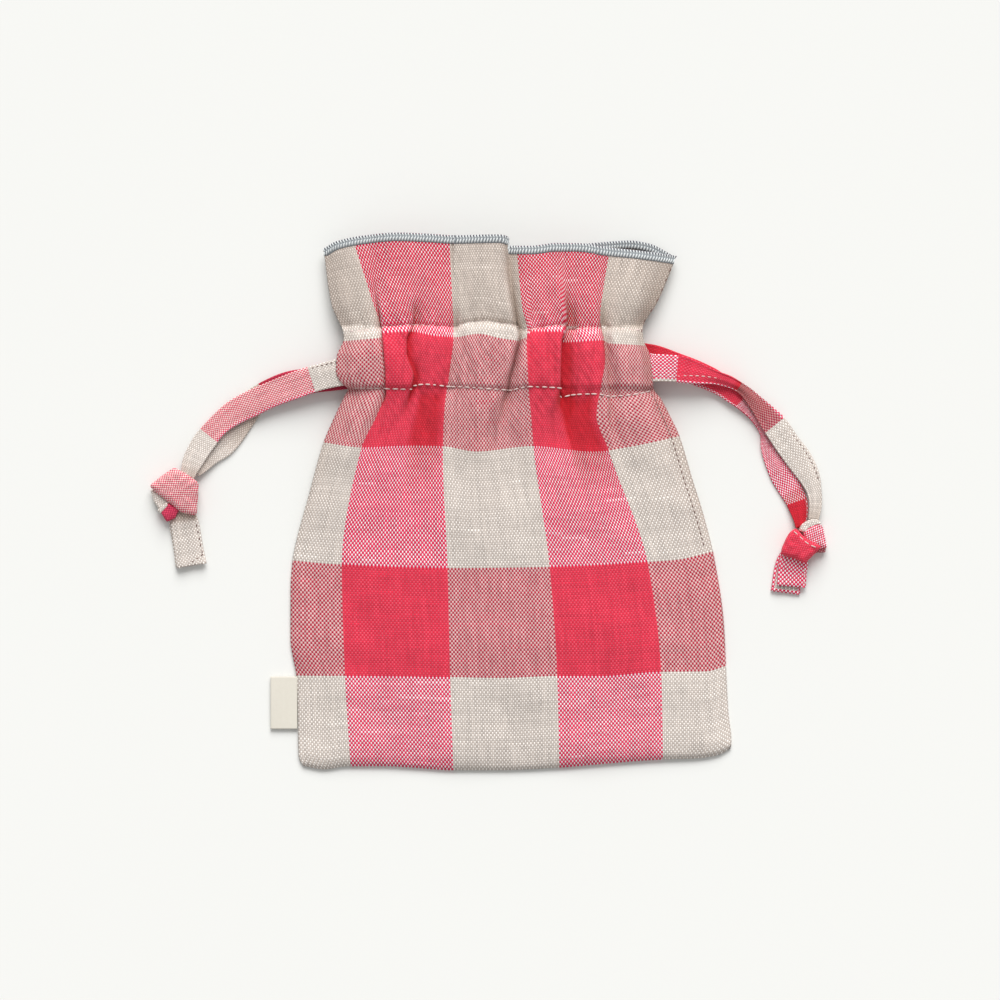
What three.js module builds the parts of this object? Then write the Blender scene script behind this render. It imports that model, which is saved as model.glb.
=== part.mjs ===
// A small drawstring pouch of checked linen, lying flat on its back with its mouth half drawn.
// Two cloth panels are sewn together at the sides and the bottom. A strip sewn inside each panel
// makes the casing, and two tapes run round in it and leave it at opposite sides, where the ends
// of each are knotted together. Above the casing the cloth stands out as a ruffle.
// Millimetres. X runs across the pouch, Y from its bottom to its mouth, Z up from the table.

import * as THREE from 'three';

// Driving dimensions
const POUCH_WIDTH = 169;
const POUCH_HEIGHT = 209;
const NECK_WIDTH = 117;
const MOUTH_WIDTH = 137;
const RUFFLE_HEIGHT = 36.1;
const CASING_HEIGHT = 24.2;
const CASING_SIDE_BULGE = 2.2;
const SHOULDER_LENGTH = 95;
const CORNER_RADIUS = 5;
const NECK_LEAN = 6.5;
const MOUTH_LEAN = 0.8;
const BOTTOM_RISE = 5;
const HEM_DROP_LEFT = 5.8;
const HEM_DROP_RIGHT = 9.3;
const HEM_PEAK = -0.4;

// Cloth and clearances
const CLOTH = 0.5;
const GAP = 0.3;
const TAPE_WIDTH = 10;
const TAPE_THICKNESS = 1;
const OVERLOCK_WIDTH = 2.8;
const OVERLOCK_THICKNESS = 1.1;
const STITCH_MARGIN = 1.5;
const STITCH_GAP = 0.6;

// How high the cloth stands off the table
const NECK_HOLLOW = 4.8;
const CASING_BULGE = 0.95;
const MOUTH_SAG = 1.4;
const FRONT_GATHER = 2.4;
const BACK_GATHER = 1.9;
const STRIP_GATHER = 0.2;
const GATHER_REACH = 80;
const SIDE_OPENING = 6;
const PLATEAU_BODY = 3.5;
const PLATEAU_NECK = 6;

// Where the cloth dips between its gathers, as shares of the neck's width
const FRONT_DIPS = [0, 0.14, 0.22, 0.355, 0.56, 0.7, 0.835, 1];
const BACK_DIPS = [0, 0.12, 0.27, 0.41, 0.5, 0.66, 0.86, 1];
const FULL_GATHER = 0.15;
const COLUMNS_PER_GATHER = 6;

// The folded side label
const LABEL_HEIGHT = 20.7;
const LABEL_OUT = 10.1;
const LABEL_ABOVE_BOTTOM = 16;
const LABEL_LAYER = 0.35;

// The knots
const KNOT_SIDES = 6;
const KNOT_RADIUS = 9.4;
const KNOT_HEIGHT = 6.6;

// Heights along the pouch
const hemY = POUCH_HEIGHT / 2;
const bottomY = -POUCH_HEIGHT / 2;
const upperStitchY = hemY - RUFFLE_HEIGHT;
const lowerStitchY = upperStitchY - CASING_HEIGHT;
const casingMidY = (upperStitchY + lowerStitchY) / 2;
const bodyLength = lowerStitchY - bottomY;

// Stack heights at the neck, from the table up: back cloth, tape, strip, hollow, strip, tape, front cloth
const backCloth = CLOTH / 2;
const backClothDipped = backCloth + BACK_GATHER;
const layerStep = CLOTH / 2 + GAP + TAPE_THICKNESS / 2;
const backTapeZ = backClothDipped + layerStep;
const backStripZ = backTapeZ + layerStep;
const frontStripZ = backStripZ + CLOTH + 2 * STRIP_GATHER + NECK_HOLLOW;
const frontTapeZ = frontStripZ + layerStep;
const frontCasingZ = frontTapeZ + layerStep;
const frontNeckZ = frontCasingZ - CASING_BULGE;
const seamHalf = (CLOTH + GAP) / 2;
const seamBodyZ = backCloth + seamHalf;
const seamNeckZ = (backTapeZ + frontTapeZ) / 2 - 1.6;
const sideHalf = SIDE_OPENING / 2 + TAPE_THICKNESS / 2;

const lerp = THREE.MathUtils.lerp;
const clamp = THREE.MathUtils.clamp;
const smoothstep = THREE.MathUtils.smoothstep;

// The outline: half the pouch's width at a height, narrowing to the neck and flaring to the mouth
function halfWidth(y) {
  const neck = NECK_WIDTH / 2;
  if (y > upperStitchY) {
    const up = clamp((y - upperStitchY) / RUFFLE_HEIGHT, 0, 1);
    return neck + (MOUTH_WIDTH / 2 - neck) * (1 - (1 - up) ** 2);
  }
  if (y > lowerStitchY) {
    const along = (y - lowerStitchY) / CASING_HEIGHT;
    return neck + CASING_SIDE_BULGE * Math.sin(Math.PI * along);
  }
  const down = clamp((lowerStitchY - y) / SHOULDER_LENGTH, 0, 1);
  const shoulder = neck + (POUCH_WIDTH / 2 - neck) * (1 - (1 - down) ** 2);
  const fromBottom = clamp(y - bottomY, 0, CORNER_RADIUS);
  const corner = CORNER_RADIUS - Math.sqrt(CORNER_RADIUS ** 2 - (CORNER_RADIUS - fromBottom) ** 2);
  return shoulder - corner * 0.7;
}

// The middle of the pouch at a height: it lies slightly askew
function centreX(y) {
  const bottom = LABEL_OUT / 2;
  if (y > upperStitchY) {
    return lerp(bottom - NECK_LEAN, -MOUTH_LEAN, (y - upperStitchY) / RUFFLE_HEIGHT);
  }
  return lerp(bottom, bottom - NECK_LEAN, clamp((y - bottomY) / (casingMidY - bottomY), 0, 1));
}

const acrossX = (across, y) => centreX(y) + across * halfWidth(y);

// The mouth's edge, highest a little left of the middle and dropping to both sides
function hemLine(across) {
  const left = HEM_DROP_LEFT * Math.max(0, (HEM_PEAK - across) / (1 + HEM_PEAK)) ** 2;
  const right = HEM_DROP_RIGHT * Math.max(0, (across - HEM_PEAK) / (1 - HEM_PEAK)) ** 1.3;
  return hemY - left - right;
}

// The bottom seam, which rises towards the right-hand corner
const bottomLine = (across) => bottomY + BOTTOM_RISE * Math.max(0, across) ** 1.5;

// One gather after another: 0 at each dip, up to 1 between two dips
function gathers(dips, across) {
  const share = clamp((across + 1) / 2, 0, 1);
  const k = Math.min(dips.length - 2, dips.findLastIndex((dip) => dip <= share));
  const wide = dips[k + 1] - dips[k];
  const phase = (share - dips[k]) / wide;
  return Math.min(1, wide / FULL_GATHER) * Math.sin(Math.PI * phase) ** 2;
}

// Columns across the cloth, evenly spaced in each gather
function columnsFor(dips) {
  const columns = [];
  for (let k = 0; k + 1 < dips.length; k += 1) {
    for (let i = 0; i < COLUMNS_PER_GATHER; i += 1) {
      columns.push(2 * lerp(dips[k], dips[k + 1], i / COLUMNS_PER_GATHER) - 1);
    }
  }
  columns.push(1);
  return columns;
}

// How strongly the cloth is gathered at a height: fully at the neck, fading down the body
const gathered = (y) => (y > lowerStitchY ? 1 : (1 - clamp((lowerStitchY - y) / GATHER_REACH, 0, 1)) ** 1.5);

// How far the casing has opened between its two stitch lines
function casingOpen(y) {
  const inside = Math.min(y - lowerStitchY, upperStitchY - y);
  return clamp(inside / STITCH_MARGIN, 0, 1);
}

const neckShare = (y) => smoothstep(y, bottomY + bodyLength * 0.5, lowerStitchY);
const seamZ = (y) => lerp(seamBodyZ, seamNeckZ, neckShare(y));

// Height of the front cloth without its gathers
function frontBase(across, y) {
  const rise = 1 - (1 - clamp((y - bottomY) / bodyLength, 0, 1)) ** 2.2;
  const sag = MOUTH_SAG * clamp((y - upperStitchY) / RUFFLE_HEIGHT, 0, 1);
  const top = lerp(seamBodyZ + seamHalf, frontNeckZ, rise) - sag + CASING_BULGE * casingOpen(y);
  const edge = seamZ(y) + lerp(seamHalf, sideHalf, casingOpen(y));
  const dome = 1 - Math.abs(across) ** lerp(PLATEAU_BODY, PLATEAU_NECK, neckShare(y));
  return lerp(edge, top, dome);
}

const frontZ = (across, y) => frontBase(across, y) + FRONT_GATHER * gathered(y) * gathers(FRONT_DIPS, across);

// Height of the back cloth, which lies on the table and dips up between its gathers
function backZ(across, y) {
  const edge = seamZ(y) - lerp(seamHalf, sideHalf, casingOpen(y));
  const rise = (edge - backCloth) * Math.abs(across) ** PLATEAU_NECK;
  const dip = BACK_GATHER * gathered(y) * (1 - gathers(BACK_DIPS, across)) * (1 - Math.abs(across) ** 8);
  return backCloth + rise + dip * smoothstep(y, 0, lowerStitchY);
}

// A closed sheet: each point of a grid of [x, y, z] rows, thickened up and down
function sheet(rows, thickness) {
  const wide = rows[0].length;
  const corners = [];
  for (const side of [0.5, -0.5]) {
    for (const row of rows) {
      for (const [x, y, z] of row) {
        corners.push(x, y, z + side * thickness);
      }
    }
  }
  const under = rows.length * wide;
  const faces = [];
  for (let r = 0; r + 1 < rows.length; r += 1) {
    for (let c = 0; c + 1 < wide; c += 1) {
      const a = r * wide + c;
      const b = a + 1;
      const d = a + wide;
      const e = d + 1;
      faces.push(a, b, e, a, e, d, under + a, under + e, under + b, under + a, under + d, under + e);
    }
  }
  const rim = [];
  for (let c = 0; c < wide; c += 1) rim.push(c);
  for (let r = 1; r < rows.length; r += 1) rim.push(r * wide + wide - 1);
  for (let c = wide - 2; c >= 0; c -= 1) rim.push((rows.length - 1) * wide + c);
  for (let r = rows.length - 2; r > 0; r -= 1) rim.push(r * wide);
  for (let i = 0; i < rim.length; i += 1) {
    const p = rim[i];
    const q = rim[(i + 1) % rim.length];
    faces.push(p, under + p, under + q, p, under + q, q);
  }
  return closedGeometry(corners, faces);
}

function closedGeometry(corners, faces) {
  const geometry = new THREE.BufferGeometry();
  geometry.setAttribute('position', new THREE.Float32BufferAttribute(corners, 3));
  geometry.setIndex(faces);
  geometry.computeVertexNormals();
  return geometry;
}

// A flat tape along a line of points: an eight-sided section whose width lies along `sides`
function flatTape(points, sides) {
  const halfW = TAPE_WIDTH / 2;
  const halfT = TAPE_THICKNESS / 2;
  const bevel = TAPE_THICKNESS * 0.35;
  const section = [
    [halfW, halfT - bevel], [halfW - bevel, halfT], [bevel - halfW, halfT], [-halfW, halfT - bevel],
    [-halfW, bevel - halfT], [bevel - halfW, -halfT], [halfW - bevel, -halfT], [halfW, bevel - halfT],
  ];
  const corners = [];
  points.forEach((point, i) => {
    const before = points[Math.max(0, i - 1)];
    const after = points[Math.min(points.length - 1, i + 1)];
    const along = after.clone().sub(before).normalize();
    const side = sides(along);
    const up = along.clone().cross(side).normalize();
    for (const [w, t] of section) {
      const corner = point.clone().addScaledVector(side, w).addScaledVector(up, t);
      corners.push(corner.x, corner.y, corner.z);
    }
  });
  const n = section.length;
  const faces = [];
  for (let i = 0; i + 1 < points.length; i += 1) {
    for (let k = 0; k < n; k += 1) {
      const a = i * n + k;
      const b = i * n + ((k + 1) % n);
      faces.push(a, b, b + n, a, b + n, a + n);
    }
  }
  const last = (points.length - 1) * n;
  for (let k = 1; k + 1 < n; k += 1) {
    faces.push(0, k + 1, k, last, last + k, last + k + 1);
  }
  return closedGeometry(corners, faces);
}

const level = (along) => new THREE.Vector3(0, 0, 1).cross(along).normalize();

// Materials: one for each finish
const finish = (color, roughness) => new THREE.MeshStandardMaterial({ color, roughness, metalness: 0 });
const checkedLinen = finish(0xcf4f60, 0.92);
const plainLinen = finish(0xc9c0b4, 0.94);
const redTape = finish(0xd02c48, 0.9);
const paleTape = finish(0xc98585, 0.92);
const greyThread = finish(0x98a1a8, 0.8);
const labelCloth = finish(0xe5dece, 0.85);

const pouch = new THREE.Group();
const body = new THREE.Group();
pouch.add(body);

function add(parent, name, geometry, material) {
  const mesh = new THREE.Mesh(geometry, material);
  mesh.name = name;
  parent.add(mesh);
  return mesh;
}

// Panels, from the bottom seam to just short of the overlocked hem
const bodyShares = [0, 0.02, 0.055, 0.12, 0.2, 0.3, 0.41, 0.52, 0.63, 0.73, 0.82, 0.9, 0.96];
const casingSteps = [
  0, STITCH_MARGIN, CASING_HEIGHT * 0.2, CASING_HEIGHT * 0.5, CASING_HEIGHT * 0.8,
  CASING_HEIGHT - STITCH_MARGIN, CASING_HEIGHT,
];
const ruffleShares = [0.15, 0.35, 0.6, 0.82, 1];

function panelRows(dips, heightAt) {
  const columns = columnsFor(dips);
  const row = (yAt) => columns.map((across) => {
    const y = yAt(across);
    return [acrossX(across, y), y, heightAt(across, y)];
  });
  return [
    ...bodyShares.map((share) => row((across) => lerp(bottomLine(across), lowerStitchY, share))),
    ...casingSteps.map((step) => row(() => lowerStitchY + step)),
    ...ruffleShares.map((share) => row((across) => lerp(upperStitchY, hemLine(across) - OVERLOCK_WIDTH - GAP, share))),
  ];
}

add(body, 'front_panel', sheet(panelRows(FRONT_DIPS, frontZ), CLOTH), checkedLinen);
add(body, 'back_panel', sheet(panelRows(BACK_DIPS, backZ), CLOTH), checkedLinen);

// Casing strips: sewn to their panel along both stitch lines and standing off it between them
const STRIP_REACH = 0.82;
const stripFold = layerStep * 2;

function stripRows(dips, heightAt, towardsInside) {
  const columns = columnsFor(dips).filter((across) => Math.abs(across) < STRIP_REACH);
  columns.unshift(-STRIP_REACH);
  columns.push(STRIP_REACH);
  return casingSteps.map((step) => columns.map((across) => {
    const y = lowerStitchY + step;
    const open = casingOpen(y);
    const sewn = heightAt(across, y) + towardsInside * (CLOTH + STITCH_GAP);
    const apart = freeStripZ(dips, across, y, towardsInside);
    return [acrossX(across, y), y, lerp(sewn, apart, open)];
  }));
}

// Height of a strip away from its stitches: level with the tapes, with only a slight gather
function freeStripZ(dips, across, y, towardsInside) {
  const ripple = STRIP_GATHER * gathers(dips, across);
  if (towardsInside < 0) {
    return frontBase(across, y) - stripFold - ripple;
  }
  return backStripZ + ripple;
}

add(body, 'front_casing_strip', sheet(stripRows(FRONT_DIPS, frontZ, -1), CLOTH), plainLinen);
add(body, 'back_casing_strip', sheet(stripRows(BACK_DIPS, backZ, 1), CLOTH), plainLinen);

// Overlocked edges: a band of thread round the raw edge of each panel's mouth
function overlockRows(dips, heightAt) {
  return [OVERLOCK_WIDTH, 0].map((down) => columnsFor(dips).map((across) => {
    const y = hemLine(across) - down;
    return [acrossX(across, y), y, heightAt(across, y)];
  }));
}

// The bands are thicker than the cloth, so they stand clear of the table and, at the sides, of each other
const extra = (OVERLOCK_THICKNESS - CLOTH) / 2;
const frontBandZ = (across, y) => frontZ(across, y) + extra * across ** 8;
const backBandZ = (across, y) => backZ(across, y) + extra * (1 - 2 * across ** 8);
add(body, 'front_hem_overlock', sheet(overlockRows(FRONT_DIPS, frontBandZ), OVERLOCK_THICKNESS), greyThread);
add(body, 'back_hem_overlock', sheet(overlockRows(BACK_DIPS, backBandZ), OVERLOCK_THICKNESS), greyThread);

// Side label: one tape folded in a hairpin, its two ends at the left side seam
function sideLabel() {
  const low = bottomY + LABEL_ABOVE_BOTTOM;
  const high = low + LABEL_HEIGHT;
  const edge = Math.min(acrossX(-1, low), acrossX(-1, high)) - GAP;
  const fold = edge - LABEL_OUT + GAP;
  const outer = LABEL_LAYER + GAP / 2;
  const shape = new THREE.Shape();
  shape.moveTo(edge, -outer);
  shape.lineTo(fold + outer, -outer);
  shape.absarc(fold + outer, 0, outer, -Math.PI / 2, Math.PI / 2, true);
  shape.lineTo(edge, outer);
  shape.lineTo(edge, GAP / 2);
  shape.lineTo(fold + outer, GAP / 2);
  shape.absarc(fold + outer, 0, GAP / 2, Math.PI / 2, -Math.PI / 2, false);
  shape.lineTo(edge, -GAP / 2);
  shape.closePath();
  const geometry = new THREE.ExtrudeGeometry(shape, { depth: LABEL_HEIGHT, bevelEnabled: false, curveSegments: 6 });
  geometry.rotateX(Math.PI / 2);
  geometry.translate(0, high, seamBodyZ);
  return geometry;
}

add(body, 'side_label', sideLabel(), labelCloth);

// Tapes inside the casing. Each enters at its own side in the front casing, turns round inside the
// far side and comes back in the back casing. The left one lies in the lower lane.
const LANE_GAP = 0.4;
const lowerLaneY = casingMidY - (TAPE_WIDTH + LANE_GAP) / 2;
const upperLaneY = casingMidY + (TAPE_WIDTH + LANE_GAP) / 2;
const TURN_FROM = 0.87;
const LEFT_EXIT_AT = -0.92;
const RIGHT_EXIT_AT = 0.87;
const RUN_STEPS = 22;
const TURN_STEPS = 6;

// Height of a tape under the front cloth, low enough for whichever of its edges lies further out
function frontTapeHeight(x, laneY) {
  const outer = laneY + (Math.sign(laneY - casingMidY) * TAPE_WIDTH) / 2;
  return frontBase((x - centreX(outer)) / halfWidth(outer), outer) - layerStep;
}

// The run of a tape in the casing, from its exit at one side round the far side and back
function casingRun(laneY, exitAt, turnFrom) {
  const exit = acrossX(exitAt, casingMidY);
  const turnX = acrossX(turnFrom, casingMidY);
  const radius = (frontTapeHeight(turnX, laneY) - backTapeZ) / 2;
  const points = [];
  for (let i = 0; i <= RUN_STEPS; i += 1) {
    const x = lerp(exit, turnX, i / RUN_STEPS);
    points.push(new THREE.Vector3(x, laneY, frontTapeHeight(x, laneY)));
  }
  for (let i = 1; i < TURN_STEPS; i += 1) {
    const angle = Math.PI * (i / TURN_STEPS);
    const out = Math.sign(turnFrom) * radius * Math.sin(angle);
    points.push(new THREE.Vector3(turnX + out, laneY, backTapeZ + radius * (1 + Math.cos(angle))));
  }
  for (let i = RUN_STEPS; i >= 0; i -= 2) {
    points.push(new THREE.Vector3(lerp(exit, turnX, i / RUN_STEPS), laneY, backTapeZ));
  }
  return flatTape(points, () => new THREE.Vector3(0, 1, 0));
}

add(body, 'left_tape_casing_run', casingRun(lowerLaneY, LEFT_EXIT_AT, TURN_FROM), paleTape);
add(body, 'right_tape_casing_run', casingRun(upperLaneY, RIGHT_EXIT_AT, -TURN_FROM), redTape);

// Free stretches of the tapes, laid on the table: offsets [x, y] from the exit, and the height z
const leftFrontRoute = [
  [-4, -0.2, 7.6], [-8.5, -1.2, 6.5], [-17, -3.6, 4.6], [-25, -6.4, 3.2], [-33, -9.9, 2.3], [-40.8, -13.2, 1.95],
  [-47, -16.7, 1.95], [-52.8, -21.2, 2], [-57.4, -25.6, 2.3], [-61, -31.4, 3],
];
const leftBackRoute = [
  [-4, 0, 3.2], [-9.5, -0.2, 2.7], [-18.2, -2, 1.7], [-27.9, -5.1, 0.9], [-35.7, -9, 0.6], [-40.8, -12.9, 0.55],
  [-44.2, -17.8, 0.55], [-47.6, -23, 0.55], [-51.8, -28, 0.6], [-56.8, -32, 0.9],
];
const rightFrontRoute = [
  [3.5, 0, 8.4], [6.8, -0.5, 7.6], [11, -4.4, 6.9], [17.5, -9, 5.8], [27.6, -11.8, 4.1], [35, -14.3, 2.9],
  [42.9, -19.3, 2.2], [48.5, -25.2, 1.95], [54.5, -32.8, 1.95], [60.8, -40.4, 1.95], [65.7, -48.6, 2.1], [68.7, -56.9, 2.7],
];
const rightBackRoute = [
  [3.5, 0, 3.3], [7.2, -0.6, 3.3], [12, -4.6, 2.8], [19.8, -8.8, 2], [29.8, -12.7, 1.1], [38.3, -17.8, 0.6],
  [43.9, -24.1, 0.55], [47.8, -30.8, 0.55], [50.4, -36, 0.55], [53, -42.8, 0.55], [56.7, -49.5, 0.6], [61.4, -56.2, 0.9],
];
const ROUTE_STEPS = 27;
const START_GAP = 0.5;
const KNOT_GAP = 0.6;
const KNOT_BEVEL = KNOT_HEIGHT * 0.3;
const knotFlat = (KNOT_RADIUS - KNOT_BEVEL) * Math.cos(Math.PI / KNOT_SIDES) + KNOT_BEVEL;

function unitAt(degrees) {
  const angle = THREE.MathUtils.degToRad(degrees);
  return new THREE.Vector3(Math.cos(angle), Math.sin(angle), 0);
}

// A free stretch runs from the casing run's end, a gap away, along its route and square onto the knot
function freeTape(exit, route, knot, aside, endZ) {
  const towards = unitAt(knot.strands);
  const sideways = unitAt(knot.strands - 90).multiplyScalar(aside);
  const centre = new THREE.Vector3(exit.x + knot.at[0], exit.y + knot.at[1], endZ).add(sideways);
  const end = centre.clone().addScaledVector(towards, knotFlat + KNOT_GAP);
  const points = [
    new THREE.Vector3(exit.x + START_GAP * Math.sign(route[0][0]), exit.y, exit.z),
    ...route.map(([x, y, z]) => new THREE.Vector3(exit.x + x, exit.y + y, z)),
    end.clone().addScaledVector(towards, 3),
    end,
  ];
  const curve = new THREE.CatmullRomCurve3(points, false, 'centripetal');
  return flatTape(curve.getSpacedPoints(ROUTE_STEPS), level);
}

const leftExitX = acrossX(LEFT_EXIT_AT, casingMidY);
const rightExitX = acrossX(RIGHT_EXIT_AT, casingMidY);
const leftExitFront = new THREE.Vector3(leftExitX, lowerLaneY, frontTapeHeight(leftExitX, lowerLaneY));
const leftExitBack = new THREE.Vector3(leftExitX, lowerLaneY, backTapeZ);
const rightExitFront = new THREE.Vector3(rightExitX, upperLaneY, frontTapeHeight(rightExitX, upperLaneY));
const rightExitBack = new THREE.Vector3(rightExitX, upperLaneY, backTapeZ);

// Knots: where each lies from its exit, which way its strands come in and its tails lie, in degrees,
// and how far the two strands lie aside of one another there
const LEFT_KNOT = { at: [-70.9, -47.3], strands: 50, aside: -0.4, tails: -76, tailLength: 19 };
const RIGHT_KNOT = { at: [65.4, -76.7], strands: 78, aside: 1.4, tails: -112, tailLength: 12 };
const FRONT_IN_KNOT = 3.9;
const BACK_IN_KNOT = 2;

add(body, 'left_tape_front_strand', freeTape(leftExitFront, leftFrontRoute, LEFT_KNOT, -LEFT_KNOT.aside, FRONT_IN_KNOT), paleTape);
add(body, 'left_tape_back_strand', freeTape(leftExitBack, leftBackRoute, LEFT_KNOT, LEFT_KNOT.aside, BACK_IN_KNOT), paleTape);
add(body, 'right_tape_front_strand', freeTape(rightExitFront, rightFrontRoute, RIGHT_KNOT, RIGHT_KNOT.aside, FRONT_IN_KNOT), redTape);
add(body, 'right_tape_back_strand', freeTape(rightExitBack, rightBackRoute, RIGHT_KNOT, -RIGHT_KNOT.aside, BACK_IN_KNOT), redTape);

// A knot of two tapes tied together: a flattened lump with folded sides
function knotLump() {
  const shape = new THREE.Shape();
  const inner = KNOT_RADIUS - KNOT_BEVEL;
  for (let i = 0; i < KNOT_SIDES; i += 1) {
    const angle = (2 * Math.PI * (i + 0.5)) / KNOT_SIDES;
    const corner = [inner * Math.cos(angle), inner * Math.sin(angle)];
    if (i === 0) shape.moveTo(...corner);
    else shape.lineTo(...corner);
  }
  shape.closePath();
  const depth = KNOT_HEIGHT - 2 * KNOT_BEVEL;
  const settings = { depth, bevelThickness: KNOT_BEVEL, bevelSize: KNOT_BEVEL, bevelSegments: 2 };
  return new THREE.ExtrudeGeometry(shape, settings).translate(0, 0, KNOT_BEVEL);
}

// A knot with its two tails, which leave it square to one of its sides and then turn the way they lie
function knotWithTails(side, exit, knot, material) {
  const centre = new THREE.Vector3(exit.x + knot.at[0], exit.y + knot.at[1], 0);
  const lump = add(body, `${side}_knot`, knotLump(), material);
  lump.position.copy(centre);
  lump.rotation.z = THREE.MathUtils.degToRad(knot.strands);
  const step = 360 / KNOT_SIDES;
  const square = knot.strands + step * Math.round((knot.tails - knot.strands) / step);
  const start = centre.clone().addScaledVector(unitAt(square), knotFlat + KNOT_GAP);
  const turned = start.clone().addScaledVector(unitAt(square), 2);
  const lying = unitAt(knot.tails);
  for (const [layer, from, to] of [['front', FRONT_IN_KNOT, 1.9], ['back', BACK_IN_KNOT, 0.55]]) {
    const shares = [0, 0.3, 0.65, 1];
    const points = [
      start.clone().setZ(from),
      ...shares.map((share) => turned.clone()
        .addScaledVector(lying, share * (knot.tailLength - 2))
        .setZ(lerp(from, to, smoothstep(share, -0.2, 0.65)))),
    ];
    add(body, `${side}_tape_${layer}_tail`, flatTape(points, level), material);
  }
}

knotWithTails('left', leftExitFront, LEFT_KNOT, paleTape);
knotWithTails('right', rightExitFront, RIGHT_KNOT, redTape);

// The origin is under the middle of the sewn pouch, on the table
const sewn = body.children.filter((mesh) => !/strand|knot|tail/.test(mesh.name));
const around = new THREE.Box3();
sewn.forEach((mesh) => around.expandByObject(mesh, true));
const middle = around.getCenter(new THREE.Vector3());
body.position.set(-middle.x, -middle.y, -around.min.z);

export default pouch;
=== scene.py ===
"""Dresses the checked linen drawstring pouch: cloth, tapes, knots, thread, label, floor, light and camera."""

import logging
from dataclasses import dataclass, field, replace
from enum import Enum
from typing import Callable, Iterable, Sequence

import bpy
import numpy as np
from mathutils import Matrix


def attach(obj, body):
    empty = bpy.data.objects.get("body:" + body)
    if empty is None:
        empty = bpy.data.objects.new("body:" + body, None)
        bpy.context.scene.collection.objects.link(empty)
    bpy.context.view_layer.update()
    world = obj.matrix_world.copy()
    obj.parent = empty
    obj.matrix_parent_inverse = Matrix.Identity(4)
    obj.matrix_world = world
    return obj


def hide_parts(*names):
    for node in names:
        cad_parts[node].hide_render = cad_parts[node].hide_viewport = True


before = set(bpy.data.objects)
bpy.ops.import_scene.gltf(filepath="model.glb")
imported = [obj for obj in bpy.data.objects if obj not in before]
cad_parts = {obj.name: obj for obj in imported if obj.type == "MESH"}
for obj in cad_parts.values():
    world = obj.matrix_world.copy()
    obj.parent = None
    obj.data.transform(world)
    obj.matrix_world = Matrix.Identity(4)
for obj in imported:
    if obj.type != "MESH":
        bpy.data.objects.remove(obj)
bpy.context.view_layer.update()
log = logging.getLogger("pouch")

Array = np.ndarray
Points = Sequence[tuple[float, ...]]
MM = 0.001
UPWARDS = np.array([0.0, 0.0, 1.0])
CLOTH_WIDTH = 171.0
CLOTH_HEIGHT = 201.5
FOLDS_FROM = 122.0


def linear(red: int, green: int, blue: int) -> tuple[float, float, float, float]:
    """Turn a colour written in display values, 0 to 255, into the linear values that shaders take."""
    shares = np.array([red, green, blue]) / 255.0
    low, high = shares / 12.92, ((shares + 0.055) / 1.055) ** 2.4
    return (*np.where(shares <= 0.04045, low, high).tolist(), 1.0)


# Numbers on curves and grids

def smooth_line(knots: Points, at: Array) -> Array:
    """Follow a line through given points without overshoot.

    Each span is a cubic whose end slopes are the harmonic means of the slopes beside them, or zero
    at a peak, and past its ends the line stays level.

    Args:
        knots: Pairs of position and value, with rising positions.
        at: The positions wanted, in any shape.

    Returns:
        The values there, in the shape of at.
    """
    x, y = np.array(knots, dtype=float).T
    step = np.diff(x)
    rise = np.diff(y) / step
    slope = np.concatenate([[rise[0]], np.zeros(len(x) - 2), [rise[-1]]])
    same = rise[:-1] * rise[1:] > 0
    safe = np.where(same, rise[:-1] + rise[1:], 1.0)
    slope[1:-1] = np.where(same, 2 * rise[:-1] * rise[1:] / safe, 0.0)
    where = np.clip(at, x[0], x[-1])
    k = np.clip(np.searchsorted(x, where, side="right") - 1, 0, len(x) - 2)
    w = (where - x[k]) / step[k]
    hold = (1 + 2 * w) * (1 - w) ** 2 * y[k] + w ** 2 * (3 - 2 * w) * y[k + 1]
    lean = w * (1 - w) ** 2 * step[k] * slope[k] - w ** 2 * (1 - w) * step[k] * slope[k + 1]
    return hold + lean


def smooth_step(low: float, high: float, at: Array) -> Array:
    """Rise from 0 at low to 1 at high along 3w squared minus 2w cubed."""
    w = np.clip((at - low) / (high - low), 0.0, 1.0)
    return w * w * (3 - 2 * w)


def soft_waves(x: Array, y: Array, wavelength: float, seed: int, count: int = 7) -> Array:
    """Add up a few cosine waves of like length in seeded directions, for cloth that isn't quite flat.

    Args:
        x: Positions across.
        y: Positions along.
        wavelength: The waves' mean length, in the units of x and y.
        seed: Picks directions and phases.
        count: How many waves are added.

    Returns:
        Heights of about -1 to 1.
    """
    draw = np.random.RandomState(seed)
    total = np.zeros_like(x)
    for turn, phase, scale in zip(draw.rand(count), draw.rand(count), 0.75 + 0.6 * draw.rand(count)):
        angle, number = np.pi * turn, 2 * np.pi / (wavelength * scale)
        total += np.cos(number * (x * np.cos(angle) + y * np.sin(angle)) + 2 * np.pi * phase)
    return total / np.sqrt(count)


def lengths_along(points: Array) -> Array:
    """Add up the distances between neighbours, from 0 at the first point."""
    return np.concatenate([[0.0], np.cumsum(np.linalg.norm(np.diff(points, axis=0), axis=1))])


def points_at(marks: Array, length: Array, points: Array) -> Array:
    """Find places on a line of points.

    Args:
        marks: The lengths wanted.
        length: (n,) length at each point, rising.
        points: (n, axes) points.

    Returns:
        The places, straight between the points, with the axes last.
    """
    return np.stack([np.interp(marks, length, points[:, i]) for i in range(points.shape[1])], axis=-1)


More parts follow.
